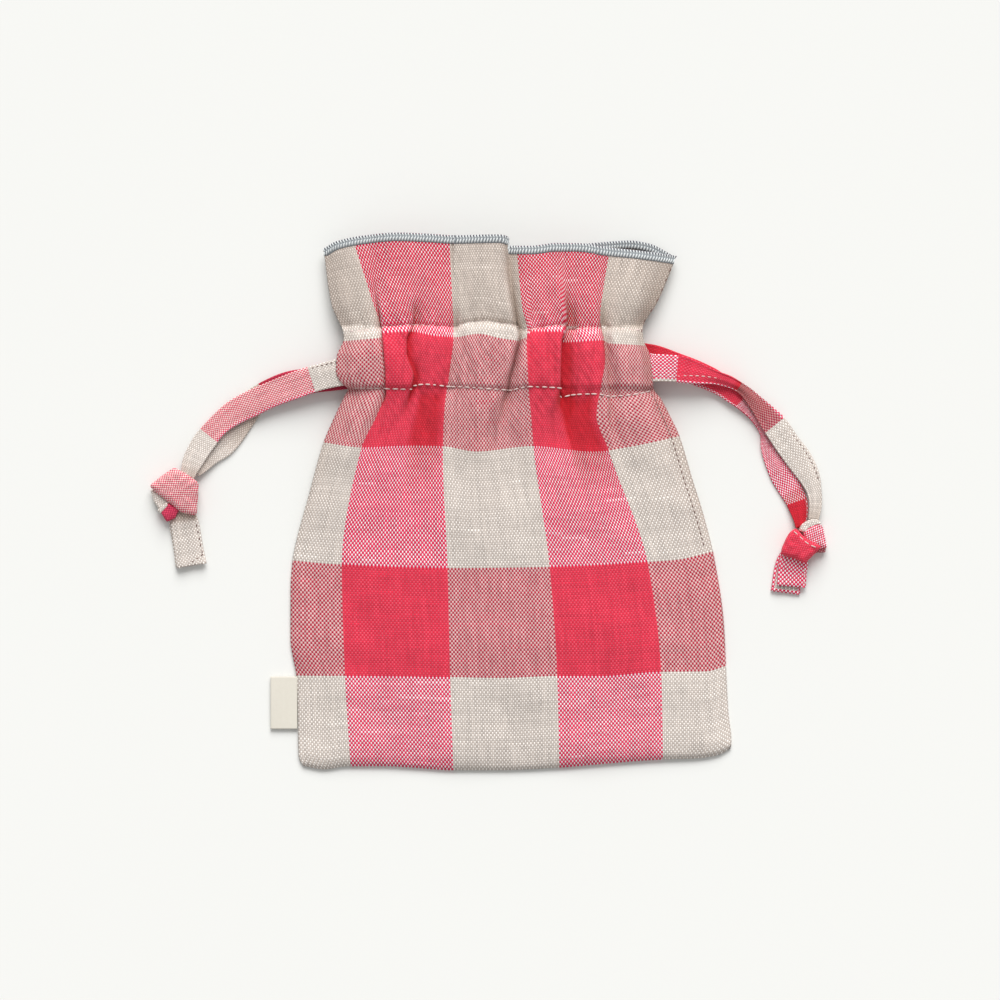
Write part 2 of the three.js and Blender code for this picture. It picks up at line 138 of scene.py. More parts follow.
def between(lines: Array, marks: Sequence[float], at: Array) -> Array:
    """Go straight from each line's values to the next line's.

    Args:
        lines: The lines' values, with the lines first and then the shape of at.
        marks: Where each line lies, rising.
        at: The places wanted.

    Returns:
        The values there, in the shape of at.
    """
    marks = np.array(marks)
    k = np.clip(np.searchsorted(marks, at, side="right") - 1, 0, len(marks) - 2)
    share = (at - marks[k]) / (marks[k + 1] - marks[k])
    low = np.take_along_axis(lines, k[None], axis=0)[0]
    high = np.take_along_axis(lines, k[None] + 1, axis=0)[0]
    return low + share * (high - low)


def unit(vectors: Array) -> Array:
    """Scale vectors along the last axis to length one."""
    return vectors / np.maximum(np.linalg.norm(vectors, axis=-1, keepdims=True), 1e-12)


def grid_normals(points: Array) -> Array:
    """Cross the two grid directions' differences at each point of an (rows, columns, 3) grid."""
    return unit(np.cross(np.gradient(points, axis=1), np.gradient(points, axis=0)))


# Meshes

def new_piece(name: str, points: Array, faces: Array, uv: Array, shade: Array | None,
              material: bpy.types.Material) -> bpy.types.Object:
    """Make a smooth mesh object at the origin from whole arrays.

    Args:
        name: The object's name.
        points: (n, 3) positions in millimetres.
        faces: (m, 4) corner indices; a triangle has -1 as its last.
        uv: (n, 2) cloth coordinates in millimetres, one for each point.
        shade: (n,) how much painted shade each point's colour gets, from 0 to 1, beside folds and elsewhere,
            or None.
        material: The finish.

    Returns:
        The new object, linked to the scene and riding on the pouch.
    """
    mesh = bpy.data.meshes.new(name)
    sizes = np.where(faces[:, 3] < 0, 3, 4)
    corners = faces[faces >= 0] if (faces < 0).any() else faces.ravel()
    mesh.vertices.add(len(points))
    mesh.vertices.foreach_set("co", (points * MM).astype(np.float32).ravel())
    mesh.loops.add(len(corners))
    mesh.loops.foreach_set("vertex_index", corners.astype(np.int32))
    mesh.polygons.add(len(faces))
    starts = np.concatenate([[0], np.cumsum(sizes)[:-1]]).astype(np.int32)
    mesh.polygons.foreach_set("loop_start", starts)
    mesh.polygons.foreach_set("use_smooth", np.full(len(faces), True))
    layer = mesh.uv_layers.new(name="cloth")
    layer.data.foreach_set("uv", uv[corners].astype(np.float32).ravel())
    if shade is not None:
        kept = mesh.attributes.new("fold_shade", "FLOAT", "POINT")
        kept.data.foreach_set("value", shade.astype(np.float32))
    mesh.update(calc_edges=True)
    mesh.validate()
    mesh.materials.append(material)
    piece = bpy.data.objects.new(name, mesh)
    bpy.context.scene.collection.objects.link(piece)
    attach(piece, "root")
    return piece


def grid_faces(rows: int, columns: int, wrap: bool = False) -> Array:
    """List the quads of a grid of points, closing the columns into a ring where wrap is true."""
    r = np.arange(rows - 1)[:, None]
    c = np.arange(columns if wrap else columns - 1)[None, :]
    d = (c + 1) % columns
    low, high = r * columns, (r + 1) * columns
    return np.stack([low + c, low + d, high + d, high + c], axis=-1).reshape(-1, 4)


def tube_faces(n: int, k: int) -> Array:
    """List the faces of n rings of k points, whose ends are closed by fans to two more points."""
    a = np.arange(k)
    b = (a + 1) % k
    none = np.full(k, -1)
    first = np.stack([b, a, np.full(k, n * k), none], axis=-1)
    last = np.stack([(n - 1) * k + a, (n - 1) * k + b, np.full(k, n * k + 1), none], axis=-1)
    return np.vstack([grid_faces(n, k, wrap=True), first, last])


@dataclass
class Solid:
    """Points, faces, cloth coordinates and painted shade of a closed solid, and the table under it."""

    points: Array
    faces: Array
    uv: Array
    shade: Array | None = None
    table: float = 0.02

    def join(self, other: "Solid") -> "Solid":
        """Put another solid's points and faces after this one's."""
        moved = np.where(other.faces < 0, -1, other.faces + len(self.points))
        return Solid(np.vstack([self.points, other.points]), np.vstack([self.faces, moved]),
                     np.vstack([self.uv, other.uv]))

    def piece(self, name: str, material: bpy.types.Material) -> bpy.types.Object:
        """Make the object, with whatever would sink into the table pressed flat on it."""
        floor = np.array([-np.inf, -np.inf, self.table])
        return new_piece(name, np.maximum(self.points, floor), self.faces, self.uv, self.shade, material)


def fold_shade(points: Array, steps: int = 22, reach: float = 10.0) -> Array:
    """Find where cloth lies low beside a fold, for the painted shade that darkens its colour there.

    At each point of a grid the steepest line of sight is taken over the points up to reach to its
    left, and at 0.7 of that to its right: their height above it over their distance plus 0.7. The
    shade rises with that slope from 0.08 to 1.15 by a soft step.

    Args:
        points: (rows, columns, 3) points with columns rising to the right.
        steps: How many columns to each side are looked at.
        reach: How far to the side a fold still shades, in millimetres.

    Returns:
        (rows, columns) values from 0 to 1.
    """
    x, z = points[..., 0], points[..., 2]
    slope = np.zeros_like(x)
    for step in range(1, steps):
        away = np.maximum(x[:, step:] - x[:, :-step], 0.0)
        seen = np.where(away < reach, (z[:, :-step] - z[:, step:]) / (away + 0.7), 0.0)
        slope[:, step:] = np.maximum(slope[:, step:], seen)
        slope[:, :-step] = np.maximum(slope[:, :-step], -0.7 * seen)
    return smooth_step(0.08, 1.15, slope)


def cloth_sheet(middle: Array, uv: Array, thickness: float) -> Solid:
    """Thicken a grid of points into a closed sheet.

    Each point moves half the thickness along its normal for the face and as far back for the
    reverse, and the rim's quads join the two.

    Args:
        middle: (rows, columns, 3) points with rising columns to the right and rows upwards.
        uv: (rows, columns, 2) cloth coordinates.
        thickness: The cloth's thickness in millimetres.

    Returns:
        The closed sheet.
    """
    rows, columns = middle.shape[:2]
    normals = grid_normals(middle) * thickness / 2
    points = np.vstack([(middle + normals).reshape(-1, 3), (middle - normals).reshape(-1, 3)])
    top = grid_faces(rows, columns)
    under = rows * columns
    index = np.arange(under).reshape(rows, columns)
    rim = np.concatenate([index[0, :-1], index[:-1, -1], index[-1, :0:-1], index[:0:-1, 0]])
    after = np.roll(rim, -1)
    side = np.stack([rim, rim + under, after + under, after], axis=-1)
    faces = np.vstack([top, top[:, ::-1] + under, side])
    flat = uv.reshape(-1, 2)
    # Painted shade beside folds, the same on both faces; the linen darkens its colour by it.
    shade = fold_shade(middle).ravel()
    return Solid(points, faces, np.vstack([flat, flat]), np.concatenate([shade, shade]))


def sweep(path: Array, sides: Array, section: Array, uv: Array | None = None) -> Solid:
    """Carry a section along a path.

    A section point (w, h) becomes path + w * side + h * up, where up is along crossed with side.
    The ends are closed by a fan to their centre.

    Args:
        path: (n, 3) points.
        sides: (n, 3) unit vectors across the path, along which w runs.
        section: (k, 2) or (n, k, 2) outline, anticlockwise seen against the path.
        uv: (n, k, 2) cloth coordinates, or None for lengths along and across.

    Returns:
        The closed solid.
    """
    n = len(path)
    along = unit(np.gradient(path, axis=0))
    sides = unit(sides - along * np.sum(along * sides, axis=1, keepdims=True))
    up = np.cross(along, sides)
    shape = np.broadcast_to(section, (n,) + section.shape[-2:])
    rings = path[:, None] + shape[..., :1] * sides[:, None] + shape[..., 1:] * up[:, None]
    if uv is None:
        uv = np.stack(np.broadcast_arrays(shape[..., 0], lengths_along(path)[:, None]), axis=-1)
    points = np.vstack([rings.reshape(-1, 3), path[0], path[-1]])
    flat = np.vstack([uv.reshape(-1, 2), uv[0].mean(axis=0), uv[-1].mean(axis=0)])
    return Solid(points, tube_faces(n, rings.shape[1]), flat)


def round_section(radius: float, sides: int) -> Array:
    """Points of a circle, anticlockwise."""
    turn = 2 * np.pi * np.arange(sides) / sides
    return radius * np.stack([np.cos(turn), np.sin(turn)], axis=-1)


def tape_section(width: float, thickness: float, rim: float, across: int = 10) -> Array:
    """Outline of a folded tape: flat faces and edges that round off over half the thickness.

    Args:
        width: From edge to edge.
        thickness: Of the folded cloth.
        rim: How wide the rims are that can have a colour of their own; two close points part them.
        across: How many points each flat face has between its rims.

    Returns:
        The points, anticlockwise.
    """
    half, thin = width / 2, thickness / 2
    inner = np.linspace(rim + 0.03 - half, half - rim - 0.03, across)
    rims = np.array([half - thin, half - rim + 0.03])
    top = np.sort(np.concatenate([inner, rims, -rims]))[::-1]
    turn = np.array([0.25, 0.5, 0.75]) * np.pi
    left = np.stack([thin - half - thin * np.sin(turn), thin * np.cos(turn)], axis=-1)
    face = np.stack([top, np.full(len(top), thin)], axis=-1)
    return np.vstack([face, left, -face, -left])


def beads(places: Array, along: Array, up: Array, length: float, radius: float) -> Solid:
    """Lay many short stitches: capsules that bend down into the cloth at both ends.

    A capsule is rings of six points: at share w from -1 to 1 its radius is the bead's radius times
    the root of 1 - w to the fourth, and its middle sinks by the radius times w to the fourth.

    Args:
        places: (n, 3) middles.
        along: (n, 3) unit vectors along each stitch.
        up: (n, 3) unit vectors off the cloth.
        length: Of a stitch.
        radius: Of the thread.

    Returns:
        All the stitches as one solid.
    """
    shares = np.array([-1.0, -0.85, -0.4, 0.4, 0.85, 1.0])
    thick = radius * np.sqrt(np.maximum(1 - shares ** 4, 0.02))
    turn = 2 * np.pi * np.arange(6) / 6
    out = np.cross(along, up)
    local = np.stack(np.broadcast_arrays(
        shares[:, None] * length / 2,
        thick[:, None] * np.cos(turn),
        thick[:, None] * np.sin(turn) - radius * 1.2 * shares[:, None] ** 4,
    ), axis=-1).reshape(-1, 3)
    basis = np.stack([along, -out, up], axis=1)
    points = places[:, None] + np.einsum("vj,njk->nvk", local, basis)
    rings = grid_faces(6, 6, wrap=True)
    caps = np.array([[3, 2, 1, 0], [5, 4, 3, 0], [30, 31, 32, 33], [30, 33, 34, 35]])
    one = np.vstack([rings, caps])
    faces = (one[None] + (36 * np.arange(len(places)))[:, None, None]).reshape(-1, 4)
    uv = np.stack([points[..., 0], points[..., 1]], axis=-1).reshape(-1, 2)
    return Solid(points.reshape(-1, 3), faces, uv)


# Shader maths

class Value:
    """A shader socket on which Python's operators add Math nodes."""

    def __init__(self, shader: "Shader", socket: bpy.types.NodeSocket) -> None:
        """Keep the shader to build in, and the socket that holds the value."""
        self.shader = shader
        self.socket = socket

    def math(self, operation: str, *others: "Value | float") -> "Value":
        """Add a Math node of this and up to two other values."""
        return self.shader.math(operation, self, *others)

    def __add__(self, other: "Value | float") -> "Value":
        """Add."""
        return self.math("ADD", other)

    __radd__ = __add__

    def __mul__(self, other: "Value | float") -> "Value":
        """Multiply."""
        return self.math("MULTIPLY", other)

    __rmul__ = __mul__

    def __sub__(self, other: "Value | float") -> "Value":
        """Subtract."""
        return self.math("SUBTRACT", other)

    def __rsub__(self, other: float) -> "Value":
        """Subtract this from a number."""
        return self.shader.math("SUBTRACT", other, self)

    def __truediv__(self, other: "Value | float") -> "Value":
        """Divide."""
        return self.math("DIVIDE", other)

    def __lt__(self, other: "Value | float") -> "Value":
        """Give 1 where this is less, else 0."""
        return self.math("LESS_THAN", other)

    def __gt__(self, other: "Value | float") -> "Value":
        """Give 1 where this is greater, else 0."""
        return self.math("GREATER_THAN", other)

    def floor(self) -> "Value":
        """Round down."""
        return self.math("FLOOR")

    def fraction(self) -> "Value":
        """Keep what is left after rounding down."""
        return self.math("FRACT")

    def arch(self) -> "Value":
        """Rise from 0 to 1 and back as this goes from 0 to 1: 4w times 1 - w."""
        return 4 * self * (1 - self)

    def choose(self, no: "Value | float", yes: "Value | float") -> "Value":
        """Take yes where this is 1 and no where it is 0."""
        return self * (yes - no) + no


class Shader:
    """One material's nodes."""

    def __init__(self, name: str) -> None:
        """Start a material with an empty tree, a Principled BSDF and an output."""
        self.material = bpy.data.materials.new(name)
        self.material.use_nodes = True
        self.tree = self.material.node_tree
        self.tree.nodes.clear()
        self.surface = self.node("ShaderNodeBsdfPrincipled")
        self.node("ShaderNodeOutputMaterial", Surface=self.surface.outputs[0])

    def node(self, kind: str, settings: dict | None = None, **inputs: object) -> bpy.types.Node:
        """Add a node.

        Args:
            kind: The node's type.
            settings: Its own settings, set before its sockets.
            inputs: Values or links for its sockets, by name with _ for a space, or in_N by number.

        Returns:
            The node.
        """
        made = self.tree.nodes.new(kind)
        for key, setting in (settings or {}).items():
            setattr(made, key, setting)
        for key, value in inputs.items():
            named = int(key[3:]) if key.startswith("in_") else key.replace("_", " ")
            self.feed(made.inputs[named], value)
        return made

    def feed(self, socket: bpy.types.NodeSocket, value: object) -> None:
        """Link a value to a socket, or set the socket's own number."""
        if isinstance(value, Value):
            value = value.socket
        if isinstance(value, bpy.types.NodeSocket):
            self.tree.links.new(value, socket)
        else:
            socket.default_value = value

    def math(self, operation: str, *values: "Value | float") -> Value:
        """Add a Math node."""
        inputs = {f"in_{i}": value for i, value in enumerate(values)}
        made = self.node("ShaderNodeMath", {"operation": operation}, **inputs)
        return Value(self, made.outputs[0])

    def cloth_place(self) -> tuple[Value, Value]:
        """Read the piece's own cloth coordinates, in millimetres."""
        place = self.node("ShaderNodeUVMap", {"uv_map": "cloth"})
        parts = self.node("ShaderNodeSeparateXYZ", Vector=place.outputs[0])
        return Value(self, parts.outputs[0]), Value(self, parts.outputs[1])

    def object_place(self) -> tuple[Value, Value]:
        """Read object coordinates across and along the pouch, in millimetres."""
        place = self.node("ShaderNodeTexCoord")
        parts = self.node("ShaderNodeSeparateXYZ", Vector=place.outputs["Object"])
        return Value(self, parts.outputs[0]) * 1000.0, Value(self, parts.outputs[1]) * 1000.0

    def noise(self, x: "Value | float", y: "Value | float", z: "Value | float" = 0.0,
              detail: float = 1.0) -> Value:
        """Read smooth noise of about 0 to 1 at a place."""
        place = self.node("ShaderNodeCombineXYZ", X=x, Y=y, Z=z)
        made = self.node("ShaderNodeTexNoise", {"noise_dimensions": "3D"}, Vector=place.outputs[0],
                         Scale=1.0, Detail=detail)
        return Value(self, made.outputs["Factor" if "Factor" in made.outputs else "Fac"])

    def blend(self, factor: "Value | float", first: object, second: object,
              kind: str = "MIX") -> bpy.types.NodeSocket:
        """Mix two colours."""
        made = self.node("ShaderNodeMix", {"data_type": "RGBA", "blend_type": kind},
                         in_0=factor, in_6=first, in_7=second)
        return made.outputs[2]

    def shade(self, colour: object, light: Value) -> bpy.types.NodeSocket:
        """Multiply a colour by a grey value."""
        grey = self.node("ShaderNodeCombineXYZ", X=light, Y=light, Z=light)
        return self.blend(1.0, colour, grey.outputs[0], "MULTIPLY")

    def finish(self, colour: object, roughness: object, sheen: float, height: Value | None = None,
               distance: float = 0.0001, strength: float = 0.5) -> bpy.types.Material:
        """Feed the Principled BSDF.

        Args:
            colour: The base colour, or a link to it.
            roughness: The roughness, or a link to it.
            sheen: The sheen's weight.
            height: What the bump reads, or None for a smooth face.
            distance: The bump's height in metres.
            strength: The bump's strength.

        Returns:
            The finished material.
        """
        self.feed(self.surface.inputs["Base Color"], colour)
        self.feed(self.surface.inputs["Roughness"], roughness)
        self.surface.inputs["Sheen Weight"].default_value = sheen
        self.surface.inputs["Sheen Roughness"].default_value = 0.6
        self.surface.inputs["Specular IOR Level"].default_value = 0.25
        if height is not None:
            bump = self.node("ShaderNodeBump", Height=height, Distance=distance, Strength=strength)
            self.feed(self.surface.inputs["Normal"], bump.outputs[0])
        return self.material


# Finishes

class Reading(Enum):
    """Where a finish reads its place from."""

    CLOTH = "the piece's own cloth coordinates"
    OBJECT = "object coordinates"


Colour = tuple[float, float, float, float]
ALL_NATURAL = (1000.0, 2000.0)
ALL_RED = (-1000.0, 2000.0)
TAPE_PATCHES = (0.0, 200.0)


@dataclass(frozen=True)
class CheckedLinen:
    """Plain weave of red and natural threads, whose colours change over in stripes both ways.

    Stripes are where the first red one starts and how wide each is. The four kinds of patch each
    have the colours of their warp and weft, and red threads beside natural ones are painted darker,
    as shade where they lie sunk between them. The shares are how much of its cell a weft thread
    fills, and crowding is how much less that is where the cloth is gathered. Noise above thick_above
    makes a thick stretch of weft. The painted shade colours tint the two kinds of thread where the
    piece's painted fold shade is full.
    """

    name: str
    reading: Reading = Reading.CLOTH
    warp_pitch: float = 0.72
    weft_pitch: float = 0.86
    natural_share: float = 0.76
    red_share: float = 0.92
    across_stripes: tuple[float, float] = (19.5, 42.0)
    along_stripes: tuple[float, float] = (35.0, 43.5)
    # Red threads in the pink and brown patches are painted darker than in the red one, as shade where they
    # lie sunk beside natural threads.
    natural: tuple[Colour, Colour] = (linear(204, 192, 183), linear(248, 241, 235))
    red: tuple[Colour, Colour] = (linear(235, 80, 102), linear(227, 36, 66))
    pink: tuple[Colour, Colour] = (linear(228, 34, 84), linear(250, 232, 238))
    brown: tuple[Colour, Colour] = (linear(230, 186, 186), linear(184, 28, 60))
    crowding: float = 0.0
    slub: float = 0.7
    streak: float = 0.36
    thick_above: float = 0.7
    gathered_from: float = 72.0
    gathered_over: float = 26.0
    # Painted shade colours: the fold shade multiplies the natural and the red threads by these where it is
    # full.
    natural_painted_shade: Colour = linear(222, 213, 206)
    red_painted_shade: Colour = linear(216, 104, 116)

    def material(self) -> bpy.types.Material:
        """Build the weave.

        Threads are counted by rounding the place down to a whole number of pitches. Where the two
        counts add up to an even number the warp thread is on top. Elsewhere the weft is, apart from
        the cell's two sides, where the warp threads beside it show; noise along each weft thread
        makes it thicker and thinner, and long slow noise makes some stretches thick. Towards the
        gathers the weft gets narrower by the crowding. Slow noise along a thread makes slubs, and
        slower noise sets whole threads off as streaks. The height of the top thread is the product
        of an arch across it and a flatter arch along it, and the colour is painted darker where it is
        low, as shade between the threads. The fold shade, painted shade beside folds and elsewhere,
        multiplies the colour towards the painted shade colours.

        Returns:
            The material.
        """
        shader = Shader(self.name)
        s, t = shader.cloth_place() if self.reading is Reading.CLOTH else shader.object_place()
        across, along = s / self.warp_pitch, t / self.weft_pitch
        warp, weft = across.floor(), along.floor()
        red_warp = self.stripes(warp, self.warp_pitch, self.across_stripes)
        red_weft = self.stripes(weft, self.weft_pitch, self.along_stripes)
        thick = shader.noise(s * 0.03, weft * 0.91, 41.0) > self.thick_above
        swell = 0.72 + 0.56 * shader.noise(s * 0.21, weft * 0.61, 7.0) + 0.4 * thick
        gathered = ((t - self.gathered_from) / self.gathered_over).math("MAXIMUM", 0.0).math("MINIMUM", 1.0)
        share = (red_weft.choose(self.natural_share, self.red_share) - self.crowding * gathered) * swell
        sides = (across.fraction() - 0.5).math("ABSOLUTE") * 2.0 > share
        warp_on_top = (((warp + weft) * 0.5).fraction() < 0.25).math("MAXIMUM", sides)
        pairs = [shader.blend(warp_on_top, patch[1], patch[0])
                 for patch in (self.natural, self.pink, self.brown, self.red)]
        colour = shader.blend(red_weft, shader.blend(red_warp, pairs[0], pairs[1]),
                              shader.blend(red_warp, pairs[2], pairs[3]))
        slubs = warp_on_top.choose(shader.noise(s * 0.07, weft * 0.61, 11.0),
                                   shader.noise(warp * 0.61, t * 0.09, 3.0))
        streaks = warp_on_top.choose(shader.noise(s * 0.012, weft * 0.5, 17.0) + 0.35 * thick,
                                     shader.noise(warp * 0.4, t * 0.012, 29.0))
        across_arch, along_arch = across.fraction().arch(), along.fraction().arch()
        over = warp_on_top.choose(along_arch, across_arch)
        length = warp_on_top.choose(across_arch, along_arch)
        height = (0.1 + 0.9 * over) * (0.25 + 0.75 * length)
        mottle = shader.noise(s * 0.045, t * 0.045, 23.0, detail=3.0)
        worn = (1 - self.slub / 2 + self.slub * slubs) * (1 - self.streak / 2 + self.streak * streaks)
        # Painted shade between threads: the colour is darker where the top thread is low; slubs, streaks and
        # mottle are the yarn's own tone.
        light = (0.71 + 0.36 * height) * worn * (0.93 + 0.14 * mottle)
        # Painted shade: the fold_shade attribute darkens the colour towards the painted shade colours.
        folded = shader.node("ShaderNodeAttribute", {"attribute_name": "fold_shade"}).outputs["Fac"]
        depth = shader.blend(warp_on_top.choose(red_weft, red_warp), self.natural_painted_shade, self.red_painted_shade)
        shaded = shader.blend(folded, shader.shade(colour, light), depth, "MULTIPLY")
        return shader.finish(shaded, 0.93, 0.08, height + slubs * 0.5, distance=0.00016, strength=0.6)

    def stripes(self, thread: Value, pitch: float, stripes: tuple[float, float]) -> Value:
        """Give 1 for the threads of a red stripe and 0 for those of a natural one."""
        first, width = stripes
        place = ((thread + 0.5) * pitch - first) / (2 * width)
        return place.fraction() < 0.5


@dataclass(frozen=True)
class SpunThread:
    """Thread of twisted strands, with its light and dark tone as display values."""

    name: str
    light: tuple[int, int, int]
    dark: tuple[int, int, int]
    twist: float = 2.2

    def material(self) -> bpy.types.Material:
        """Shade strands that cross the thread at a slant, from arches of place times the twist, as painted
        shade in their grooves.
        """
        shader = Shader(self.name)
        x, y = shader.object_place()
        strands = ((x + y * 0.6) * self.twist).fraction().arch()
        wear = shader.noise(x * 0.9, y * 0.9, 5.0, detail=2.0)
        # Painted shade in the grooves between strands, mixed with random wear.
        colour = shader.blend(0.55 * strands + 0.45 * wear, linear(*self.dark), linear(*self.light))
        return shader.finish(colour, 0.7, 0.1, strands, distance=0.00008, strength=0.4)


@dataclass(frozen=True)
class LabelCloth:
    """Close satin label tape with fine ribs."""

    name: str
    colour: Colour = linear(228, 224, 213)
    shadow: Colour = linear(208, 202, 189)
    rib: float = 0.35

    def material(self) -> bpy.types.Material:
        """Shade ribs along the label from arches across it, broken by noise."""
        shader = Shader(self.name)
        x, y = shader.object_place()
        ribs = (y / self.rib).fraction().arch()
        crossing = (x / (self.rib * 1.4)).fraction().arch()
        soft = shader.noise(x * 0.7, y * 0.7, 9.0, detail=3.0)
        colour = shader.blend(0.45 * ribs + 0.2 * crossing + 0.35 * soft, self.shadow, self.colour)
        return shader.finish(colour, 0.75, 0.1, ribs * 0.7 + crossing * 0.3, distance=0.00006, strength=0.4)


@dataclass(frozen=True)
class Finishes:
    """Every finish of the pouch, made once."""

    check: bpy.types.Material
    left_tape: bpy.types.Material
    right_tape: bpy.types.Material
    grey_thread: bpy.types.Material
    grey_band: bpy.types.Material
    gap_shade: bpy.types.Material
    pale_thread: bpy.types.Material
    dark_thread: bpy.types.Material
    label: bpy.types.Material

    @staticmethod
    def make() -> "Finishes":
        """Build the materials."""
        tape = CheckedLinen("tape_linen", warp_pitch=0.54, weft_pitch=0.66, slub=0.9,
                            across_stripes=TAPE_PATCHES, along_stripes=TAPE_PATCHES)
        # The left tape's red is darker than the panels': partly painted shade on its back strand, which lies
        # low beside the front one, and partly the deeper crimson of its knot block.
        left = replace(tape, name="left_tape_linen", streak=0.4,
                       brown=(linear(246, 208, 206), linear(216, 62, 92)),
                       red=(linear(224, 70, 104), linear(174, 36, 68)))
        right = replace(tape, name="right_tape_linen", streak=0.3,
                        brown=(linear(206, 148, 150), linear(176, 44, 68)))
        return Finishes(
            check=CheckedLinen("checked_linen", crowding=0.13).material(),
            left_tape=left.material(),
            right_tape=right.material(),
            grey_thread=SpunThread("overlock_thread", (236, 239, 239), (190, 197, 199)).material(),
            grey_band=SpunThread("overlock_band", (160, 166, 171), (122, 128, 134)).material(),
            # Dark beads painted as the shade in the gaps between overlock loops.
            gap_shade=SpunThread("overlock_gap_shade", (100, 92, 106), (72, 62, 78)).material(),
            pale_thread=SpunThread("pale_stitching", (238, 220, 216), (208, 182, 178)).material(),
            dark_thread=SpunThread("dark_stitching", (122, 84, 78), (74, 48, 46)).material(),
            label=LabelCloth("label_cloth").material(),
        )


def dress_node(node: str, stripes: tuple[float, float]) -> bpy.types.Object:
    """Give a solid that keeps its shape linen with the same stripes both ways, and return it."""
    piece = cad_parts[node]
    linen = CheckedLinen(f"{node}_linen", Reading.OBJECT, across_stripes=stripes, along_stripes=stripes)
    piece.data.materials.clear()
    piece.data.materials.append(linen.material())
    return piece


# How the cloth lies

